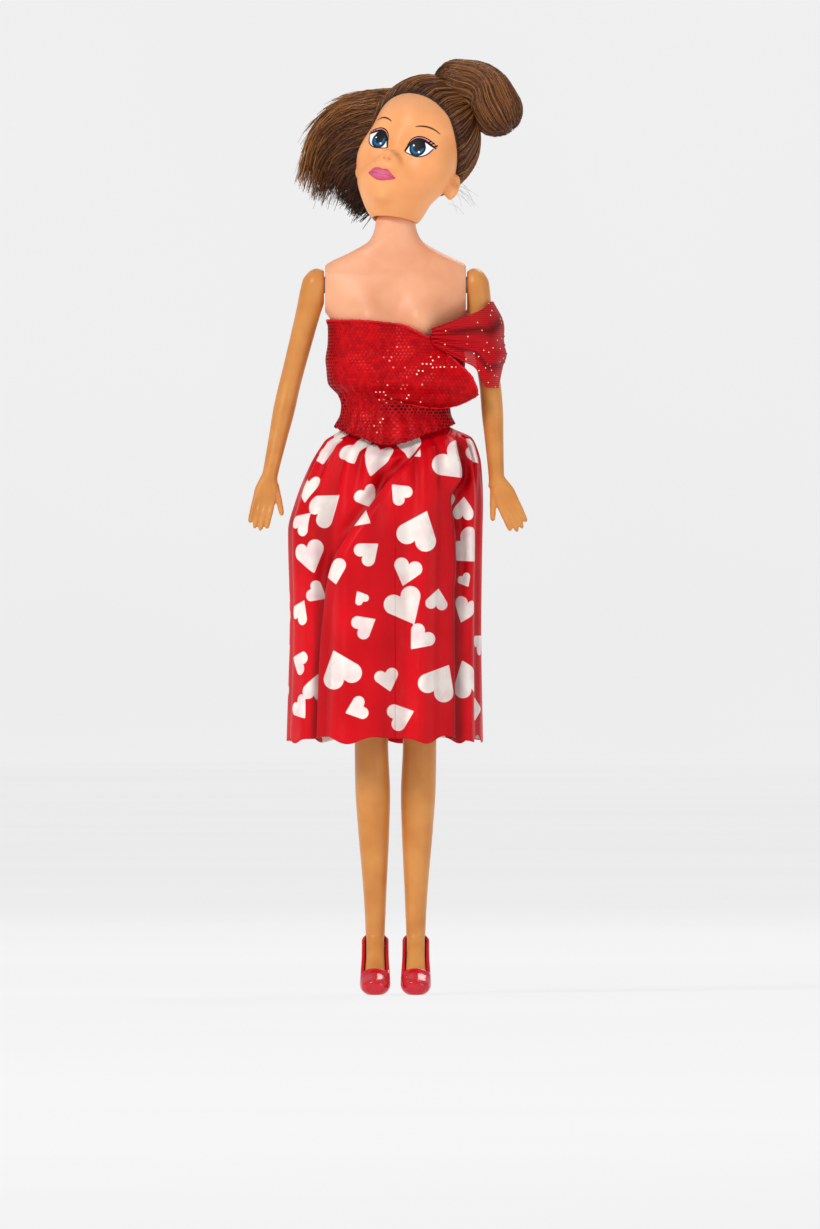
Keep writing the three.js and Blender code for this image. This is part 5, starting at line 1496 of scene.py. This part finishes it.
def make_bodice():
    """The net bodice with its blousing, its ragged hem and the lap at the back"""
    v = np.linspace(0, 1, 130)[:, None]
    turn = np.linspace(BODICE_START, BODICE_END, 420)[None, :] + 0 * v
    top = bodice_top_at(turn)[..., 0]
    bottom = bodice_bottom_at(turn)[..., 0]
    height = top + (bottom - top) * v
    ragged = 0.25 * np.sin(turn * 1.9) * np.sin(turn * 0.7) * smooth_step(0.93, 1, v)
    grid = bodice_point(turn, height - ragged, CLOTH_THICKNESS + bodice_wrinkles(turn, height))
    side = bell(turn + 165, 20) + 0.6 * bell(turn + 28, 20)
    waist = bell(height - HIP_TO_WAIST + 1, 3.4) * smooth_step(-130, -80, turn)
    low = waist + 0.5 * bell(v - 0.98, 0.05)
    uv = np.stack([turn * DEGREE * BODICE_RADIUS, height], -1)
    values = {"open": np.clip(side + low, 0, 1), "painted_glint": painted_glint_at(grid)}
    bodice = cloth("bodice_net", grid, 0.45, uv=uv, values=values)
    size, area = flat_size(grid)
    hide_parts("bodice")
    net = red_net_material()
    give(bodice, "torso", net)
    make_wrap(net)


# The crossed front layer: where it starts, its free edge on the doll's left and its lower edge, as
# x and height above the soles
WRAP_START = -9.0
WRAP_FREE = [(11.0, 208.6), (15.2, 204.5), (20.0, 199.6), (23.8, 195.4), (26.2, 189.2)]
WRAP_LOW = [(WRAP_START, 188.4), (-2.0, 187.0), (5.1, 185.9), (13.3, 184.9), (20.1, 186.1), (26.2, 189.2)]


def bodice_front(x, height, out):
    """How far forward the bodice's front is at x and at a height above the soles"""
    def x_at(turn):
        return bodice_point(turn, height - LEG_LENGTH, out)[..., 0]

    low = np.full(np.shape(x), -180.0)
    turn = halved(low, np.zeros(np.shape(x)), x, x_at, 30)
    return bodice_point(turn, height - LEG_LENGTH, out)[..., 1]


def wrap_point(across, down):
    """A place on the crossed layer, from its start to its free edge, from the neckline down"""
    free = even_curve(WRAP_FREE, down)
    bottom = even_curve(WRAP_LOW, across)
    x_top = WRAP_START + (WRAP_FREE[0][0] - WRAP_START) * across
    turn = -90 + x_top * 2.6
    top = np.stack([x_top, LEG_LENGTH + bodice_top_at(turn)[..., 0] - 0.4], -1)
    z_start = top[:1, :1, 1] + (WRAP_LOW[0][1] - top[:1, :1, 1]) * down
    start = np.stack([np.full_like(z_start, WRAP_START), z_start], -1)
    a, d = across[..., None], down[..., None]
    corners = ((1 - a) * (1 - d) * top[:1, :1] + a * (1 - d) * np.array(WRAP_FREE[0])
               + (1 - a) * d * np.array(WRAP_LOW[0]) + a * d * np.array(WRAP_LOW[-1]))
    flat = (1 - d) * top + d * bottom + (1 - a) * start + a * free - corners
    x, height = flat[..., 0], flat[..., 1]
    edge = 12.0 + 4.0 * smooth_step(186, 194, height)
    front = bodice_front(np.minimum(x, edge), height, CLOTH_THICKNESS)
    beyond = smooth_step(edge, 27, x) * (front + 9.2)
    puff = 2.6 * np.sin(np.pi * np.clip(down, 0, 1) ** 1.5) * smooth_step(0.1, 0.8, across)
    hem = 1.6 * smooth_step(0.55, 0.92, down) * smooth_step(0.15, 0.6, across)
    turned_in = 1.3 * smooth_step(0.94, 1, down)
    slant = height - 190 - 0.75 * (x - 10)
    pull = 0.4 * np.sin(slant * 0.9) * bell(slant - 2, 9) * np.sin(np.pi * across) * np.sin(np.pi * down)
    y = front - beyond - 0.35 * smooth_step(0, 0.1, across) - puff - hem + turned_in - pull
    return np.stack([x, y, height], -1)


def make_wrap(net):
    """The crossed front layer with the rolled edge along its free sides"""
    across = np.linspace(0, 1, 150)[None, :]
    down = np.linspace(0, 1, 130)[:, None]
    grid = wrap_point(across + 0 * down, down + 0 * across)
    uv = np.stack([grid[..., 0], grid[..., 2]], -1)
    open_net = 0.35 * bell(down - 0.97, 0.05) + 0 * across
    values = {"open": open_net, "painted_glint": painted_glint_at(grid)}
    wrap = cloth("bodice_crossed_layer", grid, 0.45, uv=uv, values=values)
    size, area = flat_size(grid)
    give(wrap, "torso", net)
    edge = satin_edge("crossed edge fabric", 0xC40412)
    free = wrap_point(np.ones((1, 90)), np.linspace(0.02, 1, 90)[None, :])[0]
    low = wrap_point(np.linspace(0.97, 0.3, 60)[None, :], np.ones((1, 60)))[0]
    path = even_curve(np.vstack([free[::6], low[::6]]) + [0, -0.15, 0], np.linspace(0, 1, 200))
    binding_path("crossed_edge_roll", path, 0.42, edge, 0.22, "blouse_binding")


def binding_path(name, path, radius, material, ripple, stands_for):
    """A rolled fabric edge with fine gathers"""
    length = lengths_along(path)
    ends = np.sqrt(np.clip(np.minimum(length, length[-1] - length) / radius, 0.05, 1))
    width = radius * ends * (1 + ripple * np.sin(length * 2.9) * np.sin(length * 1.1 + 0.4))
    obj = loft(name, tube(path, width, 14, (0, 0, 1)))
    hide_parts(stands_for)
    return give(obj, "torso", material)


def satin_edge(name, color):
    """Narrow satin with a fine weave"""
    material, shader = new_material(name, 0.45, specular_ior_level=0.25)
    weave = noise(material, 3.2, 3.0)
    color_with(material, shader, ramp(material, weave, (0.3, color), (0.7, scaled(color, 1.5))))
    bump(material, shader, weave, 0.05)
    return material


def make_bindings():
    """The rolled edge along the neckline"""
    edge = satin_edge("binding fabric", 0xC00A18)
    turn = np.linspace(BODICE_START, BODICE_END, 500)
    height = bodice_top_at(turn)[..., 0] + 0.25
    path = bodice_point(turn, height, CLOTH_THICKNESS - 0.15)
    binding_path("neckline_roll", path, BINDING_RADIUS * 0.8, edge, 0.2, "neckline_binding")


# Skirt

SKIRT_LENGTH = 100.0
SKIRT_TOP = HIP_TO_WAIST - 7
GATHER_LAP = 2.6
# By the length under the waist: reach to the right, to the left, to the front and to the back
skirt_profile = smooth_rows([
    [0, 18.8, 21, 13, 11.4], [5, 22.6, 25, 15.4, 13.4], [12, 27, 27, 17.8, 15.6],
    [24, 31.6, 27.6, 19.6, 17], [33, 33.6, 27.4, 20.6, 18], [60, 33, 27.2, 21, 18.4],
    [SKIRT_LENGTH, 34, 27.6, 22, 19],
])
# The overlapping panel's edges on the doll's right, -1, and left, 1, as x by the length under the waist
panel_edges = {
    -1: smooth_rows([
        [0, 12], [6, 7.4], [12, 1.1], [22, -6.2], [33, -13.4], [40, -17.2], [49, -19.7], [72, -22],
        [SKIRT_LENGTH, -23],
    ]),
    1: smooth_rows([
        [0, 19], [16, 19], [23, 15.6], [34, 16.9], [44, 17.2], [54, 16.6], [SKIRT_LENGTH, 17],
    ]),
}
PANEL_LIFT = 4.2
SKIRT_RADIUS = 26.5
SATIN_THICKNESS = 0.35


def edge_height(turn):
    """The height of the bodice's lower edge over a place on the skirt"""
    place = np.where(turn > 110 * DEGREE, turn / DEGREE - 360, turn / DEGREE)
    return bodice_bottom_at(place)[..., 0]


def skirt_folds(turn, below):
    """How far the folds stand out, by the turn and the length under the waist"""
    growth = smooth_step(6, 36, below)
    wide = 1.5 * growth * np.sin(9 * turn + 0.6)
    slim = 0.7 * growth * np.sin(16 * turn + 2.1 + below * 0.02)
    gather = smooth_step(1.5, 5, below) * smooth_step(34, 6, below)
    broad = 0.8 * np.sin(20 * turn + 0.8 * np.sin(3 * turn))
    narrow = 0.5 * np.sin(33 * turn + 1.7 * np.sin(5 * turn))
    return wide + slim + gather * (broad + narrow)


def skirt_base(turn, share):
    """The skirt without its overlapping panel, and the length under the waist"""
    edge = edge_height(turn) + GATHER_LAP
    height = edge + (SKIRT_TOP - SKIRT_LENGTH - edge) * share
    below = edge - height
    rows = skirt_profile(SKIRT_TOP - height)
    c, s = np.cos(turn), np.sin(turn)
    away = skirt_folds(turn, below)
    reach = np.where(c < 0, rows[..., 0], rows[..., 1])
    x = (reach + away * 0.45 - np.where(c > 0, 0.4, 0)) * power(c, 0.92)
    depth = np.where(s < 0, rows[..., 2], rows[..., 3])
    y = (depth + away) * power(s, 0.92)
    sewn = torso_point(turn, LEG_LENGTH + height, 2 * CLOTH_GAP + 2 * CLOTH_THICKNESS)
    free = smooth_step(2.4, 7, below)
    point = np.stack([
        sewn[..., 0] + (x - sewn[..., 0]) * free,
        sewn[..., 1] + (y - sewn[..., 1]) * free,
        LEG_LENGTH + height,
    ], -1)
    return point, below


def turn_at(x, share):
    """The turn on the skirt's front where it lies at x, for each share of its length"""
    def x_at(turn):
        return skirt_base(turn, share)[0][..., 0]

    return halved(np.full(share.shape, -np.pi), np.zeros(share.shape), x, x_at, 40)


def split_at(drop):
    """Where the two halves of the skirt meet under its overlapping panel, as x"""
    return np.maximum(panel_edges[-1](drop)[:, 0] + 2.4, 0)


def heart_distance(across, up, centre, width, tip):
    """Distance to a heart's edge, negative inside. tip is the way its point looks, in degrees"""
    angle = (tip + 90) * DEGREE
    x = (across - centre[0]) / width
    y = (up - centre[1]) / width
    u = np.abs(x * np.cos(angle) + y * np.sin(angle))
    v = y * np.cos(angle) - x * np.sin(angle) + 0.475
    lobe_radius, lobe_u, lobe_v = 0.255, 0.245, 0.695
    lobes = np.hypot(u - lobe_u, v - lobe_v) - lobe_radius
    reach = np.hypot(lobe_u, lobe_v)
    half_angle = np.arctan2(lobe_u, lobe_v) + np.arcsin(lobe_radius / reach)
    touch = np.sqrt(reach ** 2 - lobe_radius ** 2) * np.cos(half_angle)
    point = np.maximum(u * np.cos(half_angle) - v * np.sin(half_angle), v - touch)
    middle = np.maximum(np.maximum(u - lobe_u, v - lobe_v), 0.4 - v)
    return np.minimum(np.minimum(lobes, point), middle) * width


FAR_FROM_HEARTS = 9.0
# Hearts that the photograph shows: x, height above the soles, width, and the way the tip looks.
# Each belongs to the overlapping panel or to the skirt beside it.
PANEL_HEARTS = [
    (1.2, 158.3, 7.2, 134), (7.6, 146.7, 12.9, 68), (19.2, 167.1, 13.2, -47), (-8.4, 139.7, 8.1, 39),
    (3.5, 132.9, 9, -106), (3.3, 121.9, 12.2, -63), (13.1, 124.7, 7, 82), (-11, 125.3, 4.6, 120),
    (5.1, 172.3, 8.6, -45), (-11.3, 150.6, 8.6, -30), (-19.4, 133.2, 8.4, -80), (-9.5, 116.5, 7.8, 30),
    (7.5, 112, 8.6, -130), (-17.5, 103, 12.4, 110), (-2.5, 99, 7.6, -75), (14, 99, 12, 60),
    (-12.5, 90, 7.4, 200), (2, 88, 8.6, 20),
]
BASE_HEARTS = [
    (-21.3, 153.8, 11.6, 41), (-29.3, 149, 7.8, 50), (-27.1, 137.7, 10.8, -74),
    (-14.2, 170.6, 8.9, -55), (-6.3, 168, 10.4, -100), (-8.7, 156.5, 7.8, -60),
    (-22.4, 170.5, 8.4, -60), (-27.8, 158.9, 8.4, -80), (-17.1, 176.6, 6.8, 28), (4, 172.8, 8.8, -100),
    (23.2, 178.4, 5.4, -80), (24.4, 170.4, 8.4, -50), (17, 154.4, 8.4, -85), (21.3, 153.3, 7.6, 86),
    (23.4, 140.3, 12.2, -42), (17.6, 141.3, 9, 10), (17, 133.3, 6.4, 60), (22, 130.4, 4.6, -60),
    (12.6, 179.6, 6.6, 40), (-30, 121, 8, 60), (-24.5, 126.5, 7, -30), (-21, 112, 12, -40),
    (-30.5, 105, 7.6, 160), (22, 121, 8.4, -110), (26.5, 111, 7, 40), (-25, 97, 8.8, 80),
    (23, 100, 12, 110), (-30, 90, 8, -50), (25.5, 90, 7.2, 0),
]


def hearts_on(across, up, hearts):
    """Distance to the nearest of many hearts"""
    distance = np.full(across.shape, FAR_FROM_HEARTS)
    for x, height, width, tip in hearts:
        distance = np.minimum(distance, heart_distance(across, up, (x, height), width, tip))
    return distance


def arc_lengths(point):
    """Length along each row of a grid of points, from its first column"""
    steps = np.linalg.norm(np.diff(point, axis=1), axis=-1)
    return np.concatenate([np.zeros((len(point), 1)), np.cumsum(steps, 1)], 1)


def hearts_round(point, turn, side):
    """Distance to the hearts beside the panel. They lie on the cloth and follow its folds"""
    arc = arc_lengths(point)
    distance = np.full(arc.shape, FAR_FROM_HEARTS)
    for x, height, width, tip in BASE_HEARTS:
        off = np.hypot(point[..., 0] - x, point[..., 2] - height) + 99 * (point[..., 1] > 0)
        row, column = np.unravel_index(off.argmin(), off.shape)
        if off[row, column] > 2:
            continue
        start = [np.interp(side * turn[row, column], side * turns, own) for turns, own in zip(turn, arc)]
        across = side * (arc - np.array(start)[:, None])
        distance = np.minimum(distance, heart_distance(across, point[..., 2], (0, height), width, tip))
    return distance


def back_hearts():
    """Hearts behind a side, as length along the cloth from the side and height, well spaced"""
    spots = []
    for _ in range(3000):
        width = (7.6, 8.6, 12.0)[random.integers(3)]
        spot = (width / 2 + random.uniform(-1, 52), random.uniform(82, 184))
        if all(np.hypot(spot[0] - x, spot[1] - z) > 0.62 * (width + w) + 2.6 for x, z, w, _ in spots):
            spots.append((*spot, width, random.uniform(0, 360)))
    return spots


def satin_material():
    """Red satin printed with white hearts, with a fine weave, a soft sheen and painted shade in its folds
    """
    material, shader = new_material("skirt satin", 0.48, specular_ior_level=0.14)
    thread = {"Vector": flat_place(material), "Scale": 1.1}
    heart = step_down(material, value_of(material, "heart"), -0.09, 0.09)
    red = ramp(material, noise(material, 0.05, 2.0), (0.3, 0xC80010), (0.65, 0xDE0216))
    white = ramp(material, noise(material, 0.16, 2.0), (0.35, 0xF3DADA), (0.6, 0xFBF4EC))
    printed = mix(material, heart, red, white)
    # Painted shade: the satin turns deep dark red in fold troughs and beside the panel's edges
    deep = maths(material, "MULTIPLY", value_of(material, "fold_shade"), 0.62)
    color_with(material, shader, mix(material, deep, printed, 0x5A0008))
    waves = [node(material, "TexWave", thread, bands_direction=way).outputs["Fac"] for way in "XY"]
    bump(material, shader, maths(material, "MULTIPLY", *waves), 0.03)
    connect(material, shader.inputs["Roughness"], maths(material, "MULTIPLY_ADD", heart, 0.12, 0.38))
    return material


def skirt_columns(turns, counts):
    """Turns across the skirt: each column between two border lines has even steps"""
    pieces = []
    for (start, end), count in zip(zip(turns[:-1], turns[1:]), counts):
        share = np.linspace(0, 1, count, endpoint=False)[None, :]
        pieces.append(start[:, None] + (end - start)[:, None] * share)
    pieces.append(turns[-1][:, None])
    return np.concatenate(pieces, 1)


def make_skirt_half(side, satin):
    """One side of the skirt, from the line where the halves meet round to the middle of its back"""
    label = "right" if side < 0 else "left"
    share = np.linspace(0, 1, 190) ** 1.25
    edge = HIP_TO_WAIST - 9 + GATHER_LAP
    height = edge + (SKIRT_TOP - SKIRT_LENGTH - edge) * share
    drop = SKIRT_TOP - height
    border = panel_edges[side](drop)[:, 0]
    fold = 1.1
    turns = [turn_at(x, share) for x in (split_at(drop), border - side * fold, border + side * fold)]
    turns += [np.full_like(share, angle) for angle in ((side - 1) * np.pi / 2, (side - 0.5) * np.pi)]
    counts = [66, 22, 80, 110]
    side_column = sum(counts[:3])
    turn = skirt_columns(turns, counts)
    rows = np.broadcast_to(share[:, None], turn.shape)
    point, below = skirt_base(turn, rows)
    across = side * (border[:, None] - point[..., 0])
    front = np.abs(np.sin(np.minimum(turn, 0))) * (np.sin(turn) < 0)
    add_hem_and_creases(point, turn, rows, below, front)
    fold_shade = add_panel(point, turn, below, across, front, side, fold)
    on_panel = (across > -0.15) & (front > 0)
    panel = hearts_on(point[..., 0], point[..., 2], PANEL_HEARTS)
    arc = arc_lengths(point)
    behind = hearts_on(arc - arc[:, side_column:side_column + 1], point[..., 2], back_hearts())
    heart = np.where(on_panel, panel, np.minimum(hearts_round(point, turn, side), behind))
    uv = np.stack([SKIRT_RADIUS * (turn + np.pi / 2), point[..., 2]], -1)
    if side > 0:
        point, uv, heart, fold_shade = (grid[:, ::-1] for grid in (point, uv, heart, fold_shade))
    values = {"heart": heart, "fold_shade": fold_shade}
    obj = cloth(f"skirt_{label}_satin", point, SATIN_THICKNESS, uv=uv, values=values)
    obj.data.materials.append(satin)
    size, area = flat_size(point)
    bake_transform(obj)
    follow_leg(obj, side)
    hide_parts("skirt")


def add_hem_and_creases(point, turn, rows, below, front):
    """Waves along the hem, and shallow slanting creases in front"""
    point[..., 2] -= rows ** 5 * (0.9 * np.sin(9 * turn + 0.6) + 0.5 * np.sin(16 * turn + 2.1) - 1.4)
    slant = 0.6 * point[..., 0] + 0.8 * point[..., 2]
    crease = np.sin(slant * 0.4 + 1.4 * np.sin(point[..., 0] * 0.17))
    crease *= np.sin(point[..., 2] * 0.11 + point[..., 0] * 0.09)
    point[..., 1] -= 0.35 * crease * smooth_step(0, 0.3, front) * smooth_step(10, 22, below)


def add_panel(point, turn, below, across, front, side, fold):
    """Lifts the overlapping panel over the skirt beside it. Returns painted shade for the fold troughs
    and for the skirt beside the panel's edges
    """
    facing = smooth_step(0, 0.3, front)
    beside = bell(across + 3.4, 2.4) * smooth_step(3, 9, below) * smooth_step(75, 30, below)
    point[..., 1] += (3.2 if side > 0 else 1.6) * beside * facing
    rise = smooth_step(-fold, fold, across)
    point[..., 1] -= PANEL_LIFT * rise * smooth_step(4, 15, below) * facing
    overhang = 1.9 * np.sin(np.pi * rise) * smooth_step(6, 16, below)
    point[..., 0] += side * overhang * facing
    # Painted shade on the skirt beside the panel's edges, where the panel's fold would shade it
    shadow = bell(across + 1.9, 1.7 if side < 0 else 2.6) * smooth_step(4, 11, below)
    shadow *= facing * (across < 0.3)
    # Painted shade in the troughs of the folds
    fold_shade = np.clip(-skirt_folds(turn, below) / 2.6, 0, 0.4)
    return np.clip(fold_shade + (0.6 if side < 0 else 0.95) * shadow, 0, 1)


def follow_leg(obj, side):
    """Works out how much each place would follow the leg, more lower down and in front and nothing where
    halves meet, but stores none of it
    """
    own = points_of(obj)
    seam = np.where(own[:, 1] < 0, split_at(SKIRT_TOP + LEG_LENGTH - own[:, 2]), 0)
    out = side * (own[:, 0] - seam)
    down = smooth_step(LEG_LENGTH + 12, LEG_LENGTH - 30, own[:, 2])
    ahead = smooth_step(12, -6, own[:, 1])
    weight = down * smooth_step(0, 12.4 - 10 * ahead, out) * (0.35 + 0.65 * ahead)


def make_skirt():
    """Both halves of the skirt in one satin"""
    satin = satin_material()
    for side in (-1, 1):
        make_skirt_half(side, satin)


# Drape

drape_lean = smooth_rows([[0, -1.2], [0.37, 2.0], [0.6, 2.4], [0.76, 1.0], [1, 0.9]])


def drape_edges(u):
    """Heights above the shoulder of the net's upper and lower edge, from front to back"""
    back = smooth_step(1, 0.84, u)
    upper = -13.9 + 8.6 * np.clip(u / 0.42, 0, 1)
    lower = -19.1 - 7.0 * np.clip(u / 0.21, 0, 1) - 6.4 * smooth_step(0.2, 0.28, u)
    cuff = smooth_step(0.86, 0.6, u)
    return -13.8 + (upper + 13.8) * back, -20.8 + (lower + 20.8) * cuff


def drape_point(u, v, out):
    """A place on the net over the upper arm: from front to back, from top to bottom, distance out"""
    arm_out = ARM_CENTRE + ARM_RADIUS + 2.5
    path = [
        (11.3, -14.5), (20, -13.7), (28.4, -10.6), (arm_out, -4.6), (arm_out + 0.8, 2),
        (arm_out - 3, 8), (25, 11), (15.6, 8.6),
    ]
    step = 0.004
    before, point, after = (smooth_curve(path, np.clip(u + shift, 0, 1)) for shift in (-step, 0, step))
    along = unit(after - before)
    upper, lower = drape_edges(u)
    wide = smooth_step(0, 0.25, u) * smooth_step(1, 0.7, u)
    fold = 0.34 * (0.35 + wide) * np.sin(np.pi * 4 * v + 4 * u)
    pleats = 0.32 * smooth_step(0.42, 0.05, u) * np.sin(34 * v + 3 * u)
    reach = out + fold + pleats
    lean = drape_lean(v)[..., 0] * wide
    return np.stack([
        point[..., 0] + lean - along[..., 1] * reach,
        point[..., 1] + along[..., 0] * reach,
        LEG_LENGTH + HIP_TO_SHOULDER + upper + (lower - upper) * v,
    ], -1)


def net_material(name, opacity):
    """Fine red net with ribs and gold specks that glow as painted glints, partly see-through, with
    painted shade in its fold hollows
    """
    material, shader = new_material(name, 0.5, specular_ior_level=0.14, alpha=opacity)
    flat = flat_place(material)
    parts = node(material, "SeparateXYZ", {0: flat}).outputs
    ribs = maths(material, "SINE", maths(material, "MULTIPLY", parts["Y"], 2 * np.pi / 0.62))
    threads = maths(material, "SINE", maths(material, "MULTIPLY", parts["X"], 2 * np.pi / 0.5))
    plain = maths(material, "MULTIPLY_ADD", threads, 0.12, 0.5)
    grid = maths(material, "MULTIPLY_ADD", ribs, 0.34, plain)
    lit = ramp(material, grid, (0.1, 0x94040E), (0.5, 0xCC0818), (0.95, 0xE61A2A))
    # Painted shade: the net turns dark red in the hollows of its folds
    color = mix(material, value_of(material, "fold_shade"), lit, 0x40020A)
    cells = node(material, "TexVoronoi", {"Vector": flat, "Scale": 0.42}, voronoi_dimensions="2D")
    near = step_down(material, cells.outputs["Distance"], 0.06, 0.09)
    chance = node(material, "SeparateColor", {0: cells.outputs["Color"]}).outputs[0]
    speck_and_glow = maths(material, "MULTIPLY", near, step_up(material, chance, 0.6, 0.64))
    color_with(material, shader, mix(material, speck_and_glow, color, 0xFFE2A8))
    # The gold specks glow a little as painted glints, though nothing here is a lamp
    connect(material, shader.inputs["Emission Color"], srgb(0xFFE6B4))
    connect(material, shader.inputs["Emission Strength"], maths(material, "MULTIPLY", speck_and_glow, 0.7))
    bump(material, shader, grid, 0.05)
    return material


def make_drape():
    """The gathered net over the left upper arm, and its bunched middle as a fold of its own"""
    u, v = np.meshgrid(np.linspace(0, 1, 240), np.linspace(0, 1, 120))
    grid = drape_point(u, v, 0.2)
    length = np.linalg.norm(np.diff(grid, axis=1), axis=-1).mean(0).cumsum()
    across = np.concatenate([[0], length]) + 0 * v
    uv = np.stack([across, grid[..., 2]], -1)
    reach = smooth_step(0.03, 0.12, u) * smooth_step(0.52, 0.36, u)
    # Painted shade in the hollows of the gathered net, above and below its bunched middle
    hollow = 0.75 * (bell(v - 0.32 + 0.2 * u, 0.07) + 0.8 * bell(v - 0.74, 0.05)) * reach
    net = cloth("shoulder_drape_net", grid, 0.12, uv=uv, values={"fold_shade": hollow})
    net.data.materials.append(net_material("drape net", 0.78))
    lift = 1.0 + 2.2 * np.sin(np.pi * v) * smooth_step(0, 0.3, u) * smooth_step(0.8, 0.5, u)
    wave = np.sin(2 * np.pi * 3.6 * v + 2.5 * u) * smooth_step(-0.05, 0.3, u)
    fold = drape_point(0.02 + 0.62 * u, 0.36 + 0.36 * v, lift + wave)
    # Painted shade in the troughs of the folded roll
    fold_shade = np.clip(-0.6 * wave, 0, 0.6)
    roll = cloth("shoulder_drape_roll", fold, 0.12, uv=uv, values={"fold_shade": fold_shade})
    roll.data.materials.append(net_material("drape net folded", 0.97))
    for obj, shape in ((net, grid), (roll, fold)):
        size, area = flat_size(shape)
        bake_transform(obj)
    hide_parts("shoulder_drape")


# Fastener, tie and hidden pins keep their solids and get finishes

def touch_tape(name):
    """Pale fluffy touch-and-close tape"""
    material, shader = new_material(name, 0.8, sheen_weight=0.2)
    loops = noise(material, 2.2, 5.0)
    color_with(material, shader, ramp(material, loops, (0.3, 0xD8D6D0), (0.7, 0xF8F7F4)))
    bump(material, shader, loops, 0.25)
    return material


def dress_nodes():
    """Finishes for the solids that stay as they are"""
    finishes = {
        "neck_knob": hard_plastic("knob plastic", 0xE8E2D8, 0.45),
        "shoulder_peg_right": hard_plastic("peg plastic", 0xE8E2D8, 0.45),
        "shoulder_peg_left": hard_plastic("peg plastic left", 0xE8E2D8, 0.45),
        "hip_axle": steel(),
        "hair_tie": solid_hair("hair elastic", 0x2C1A10),
        "closure_loops": touch_tape("loop tape"),
        "closure_hooks": touch_tape("hook tape"),
        "skirt_waistband": satin_edge("waistband satin", 0xB80A18),
    }
    for name, material in finishes.items():
        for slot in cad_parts[name].material_slots:
            slot.link = "OBJECT"
            slot.material = material


def steel():
    """Drawn steel with slightly uneven grey"""
    material, shader = new_material("axle steel", 0.32, metallic=1.0)
    lines = noise(material, 1.6, 4.0)
    color_with(material, shader, ramp(material, lines, (0.3, 0x9A9A9C), (0.7, 0xC4C4C6)))
    return material


# Camera, light and floor

def make_camera():
    """A camera far in front, level with the picture's middle, so that the view is nearly parallel"""
    picture_height = 387.7
    distance = 9000.0
    middle_x = 4.574
    middle_z = -66.19
    camera = bpy.data.cameras.new("camera")
    camera.sensor_width = 36
    camera.lens = camera.sensor_width * distance / picture_height
    camera.clip_end = 50
    obj = bpy.data.objects.new("camera", camera)
    obj.location = (middle_x * MM, -distance * MM, middle_z * MM)
    obj.rotation_euler = (np.pi / 2, 0, 0)
    bpy.context.scene.collection.objects.link(obj)
    bpy.context.scene.camera = obj


def area_light(name, place, target, size, power_watts, color):
    """A square light at a place that looks at a target, both in metres"""
    light = bpy.data.lights.new(name, "AREA")
    light.size = size
    light.energy = power_watts
    light.color = color
    obj = bpy.data.objects.new(name, light)
    obj.location = place
    obj.rotation_euler = (Vector(target) - Vector(place)).to_track_quat("-Z", "Y").to_euler()
    bpy.context.scene.collection.objects.link(obj)


def make_studio():
    """Three soft lights and an even pale surrounding"""
    area_light("key", (-1.9, -2.6, 2.3), (0, 0, -0.02), 1.0, 73.0, (1.0, 0.97, 0.93))
    area_light("fill", (2.4, -2.6, 0.3), (0, 0, -0.05), 1.6, 16.0, (1.0, 0.98, 0.98))
    area_light("rim", (0.6, 1.6, 1.6), (0, 0, 0.0), 1.0, 14.0, (1.0, 1.0, 1.0))
    world = bpy.data.worlds.new("studio")
    world.use_nodes = True
    background = world.node_tree.nodes["Background"]
    background.inputs["Color"].default_value = (0.96, 0.97, 1.0, 1)
    background.inputs["Strength"].default_value = 0.5
    bpy.context.scene.world = world
    bpy.context.scene.view_settings.view_transform = "Standard"


def make_floor():
    """A pale round floor that curves up into a low wall, well behind the camera on every side"""
    floor_reach = 15000
    curve = 400
    bend = np.linspace(0, np.pi / 2, 10)
    flat = [0.02, 100, 300, 700, 1500, 4000, 9000]
    wall_height = 3000
    under_soles = 0.05
    reach = np.concatenate([flat, floor_reach + curve * np.sin(bend), [floor_reach + curve]])[:, None]
    rise = np.concatenate([np.zeros(len(flat)), curve * (1 - np.cos(bend)), [wall_height]])[:, None]
    turn = full_turn(96)[None, :]
    grid = np.stack([reach * np.cos(turn), reach * np.sin(turn), rise - under_soles + 0 * turn], -1)
    faces = grid_faces(*grid.shape[:2], True).tolist()
    floor = make_object("studio_floor", grid.reshape(-1, 3), faces)
    material, shader = new_material("studio paper", 0.95, specular_ior_level=0.0)
    greys = [(place, (grey, grey, grey, 1)) for place, grey in ((0.3, 0.178), (0.7, 0.182))]
    paper = ramp(material, noise(material, 0.002), *greys)
    color_with(material, shader, paper)
    connect(material, shader.inputs["Emission Color"], paper)
    shader.inputs["Emission Strength"].default_value = 4.1
    floor.data.materials.append(material)


LIMB = vinyl("limb vinyl", 0xD8924A, 0xC97E38, 0.38, scatter=0.08, coat=0.12)
SHOE = hard_plastic("shoe plastic", 0xD01228, 0.16)

make_camera()
make_studio()
make_floor()
make_torso()
make_head()
make_face_paint()
make_hair()
make_arm(RIGHT_ARM, "arm_right")
make_arm(LEFT_ARM, "arm_left")
for leg_side, leg_name in ((-1, "right"), (1, "left")):
    make_leg(leg_side, "leg_" + leg_name)
    make_shoe(leg_side, "shoe_" + leg_name, "leg_" + leg_name)
make_bodice()
make_bindings()
make_skirt()
make_drape()
dress_nodes()
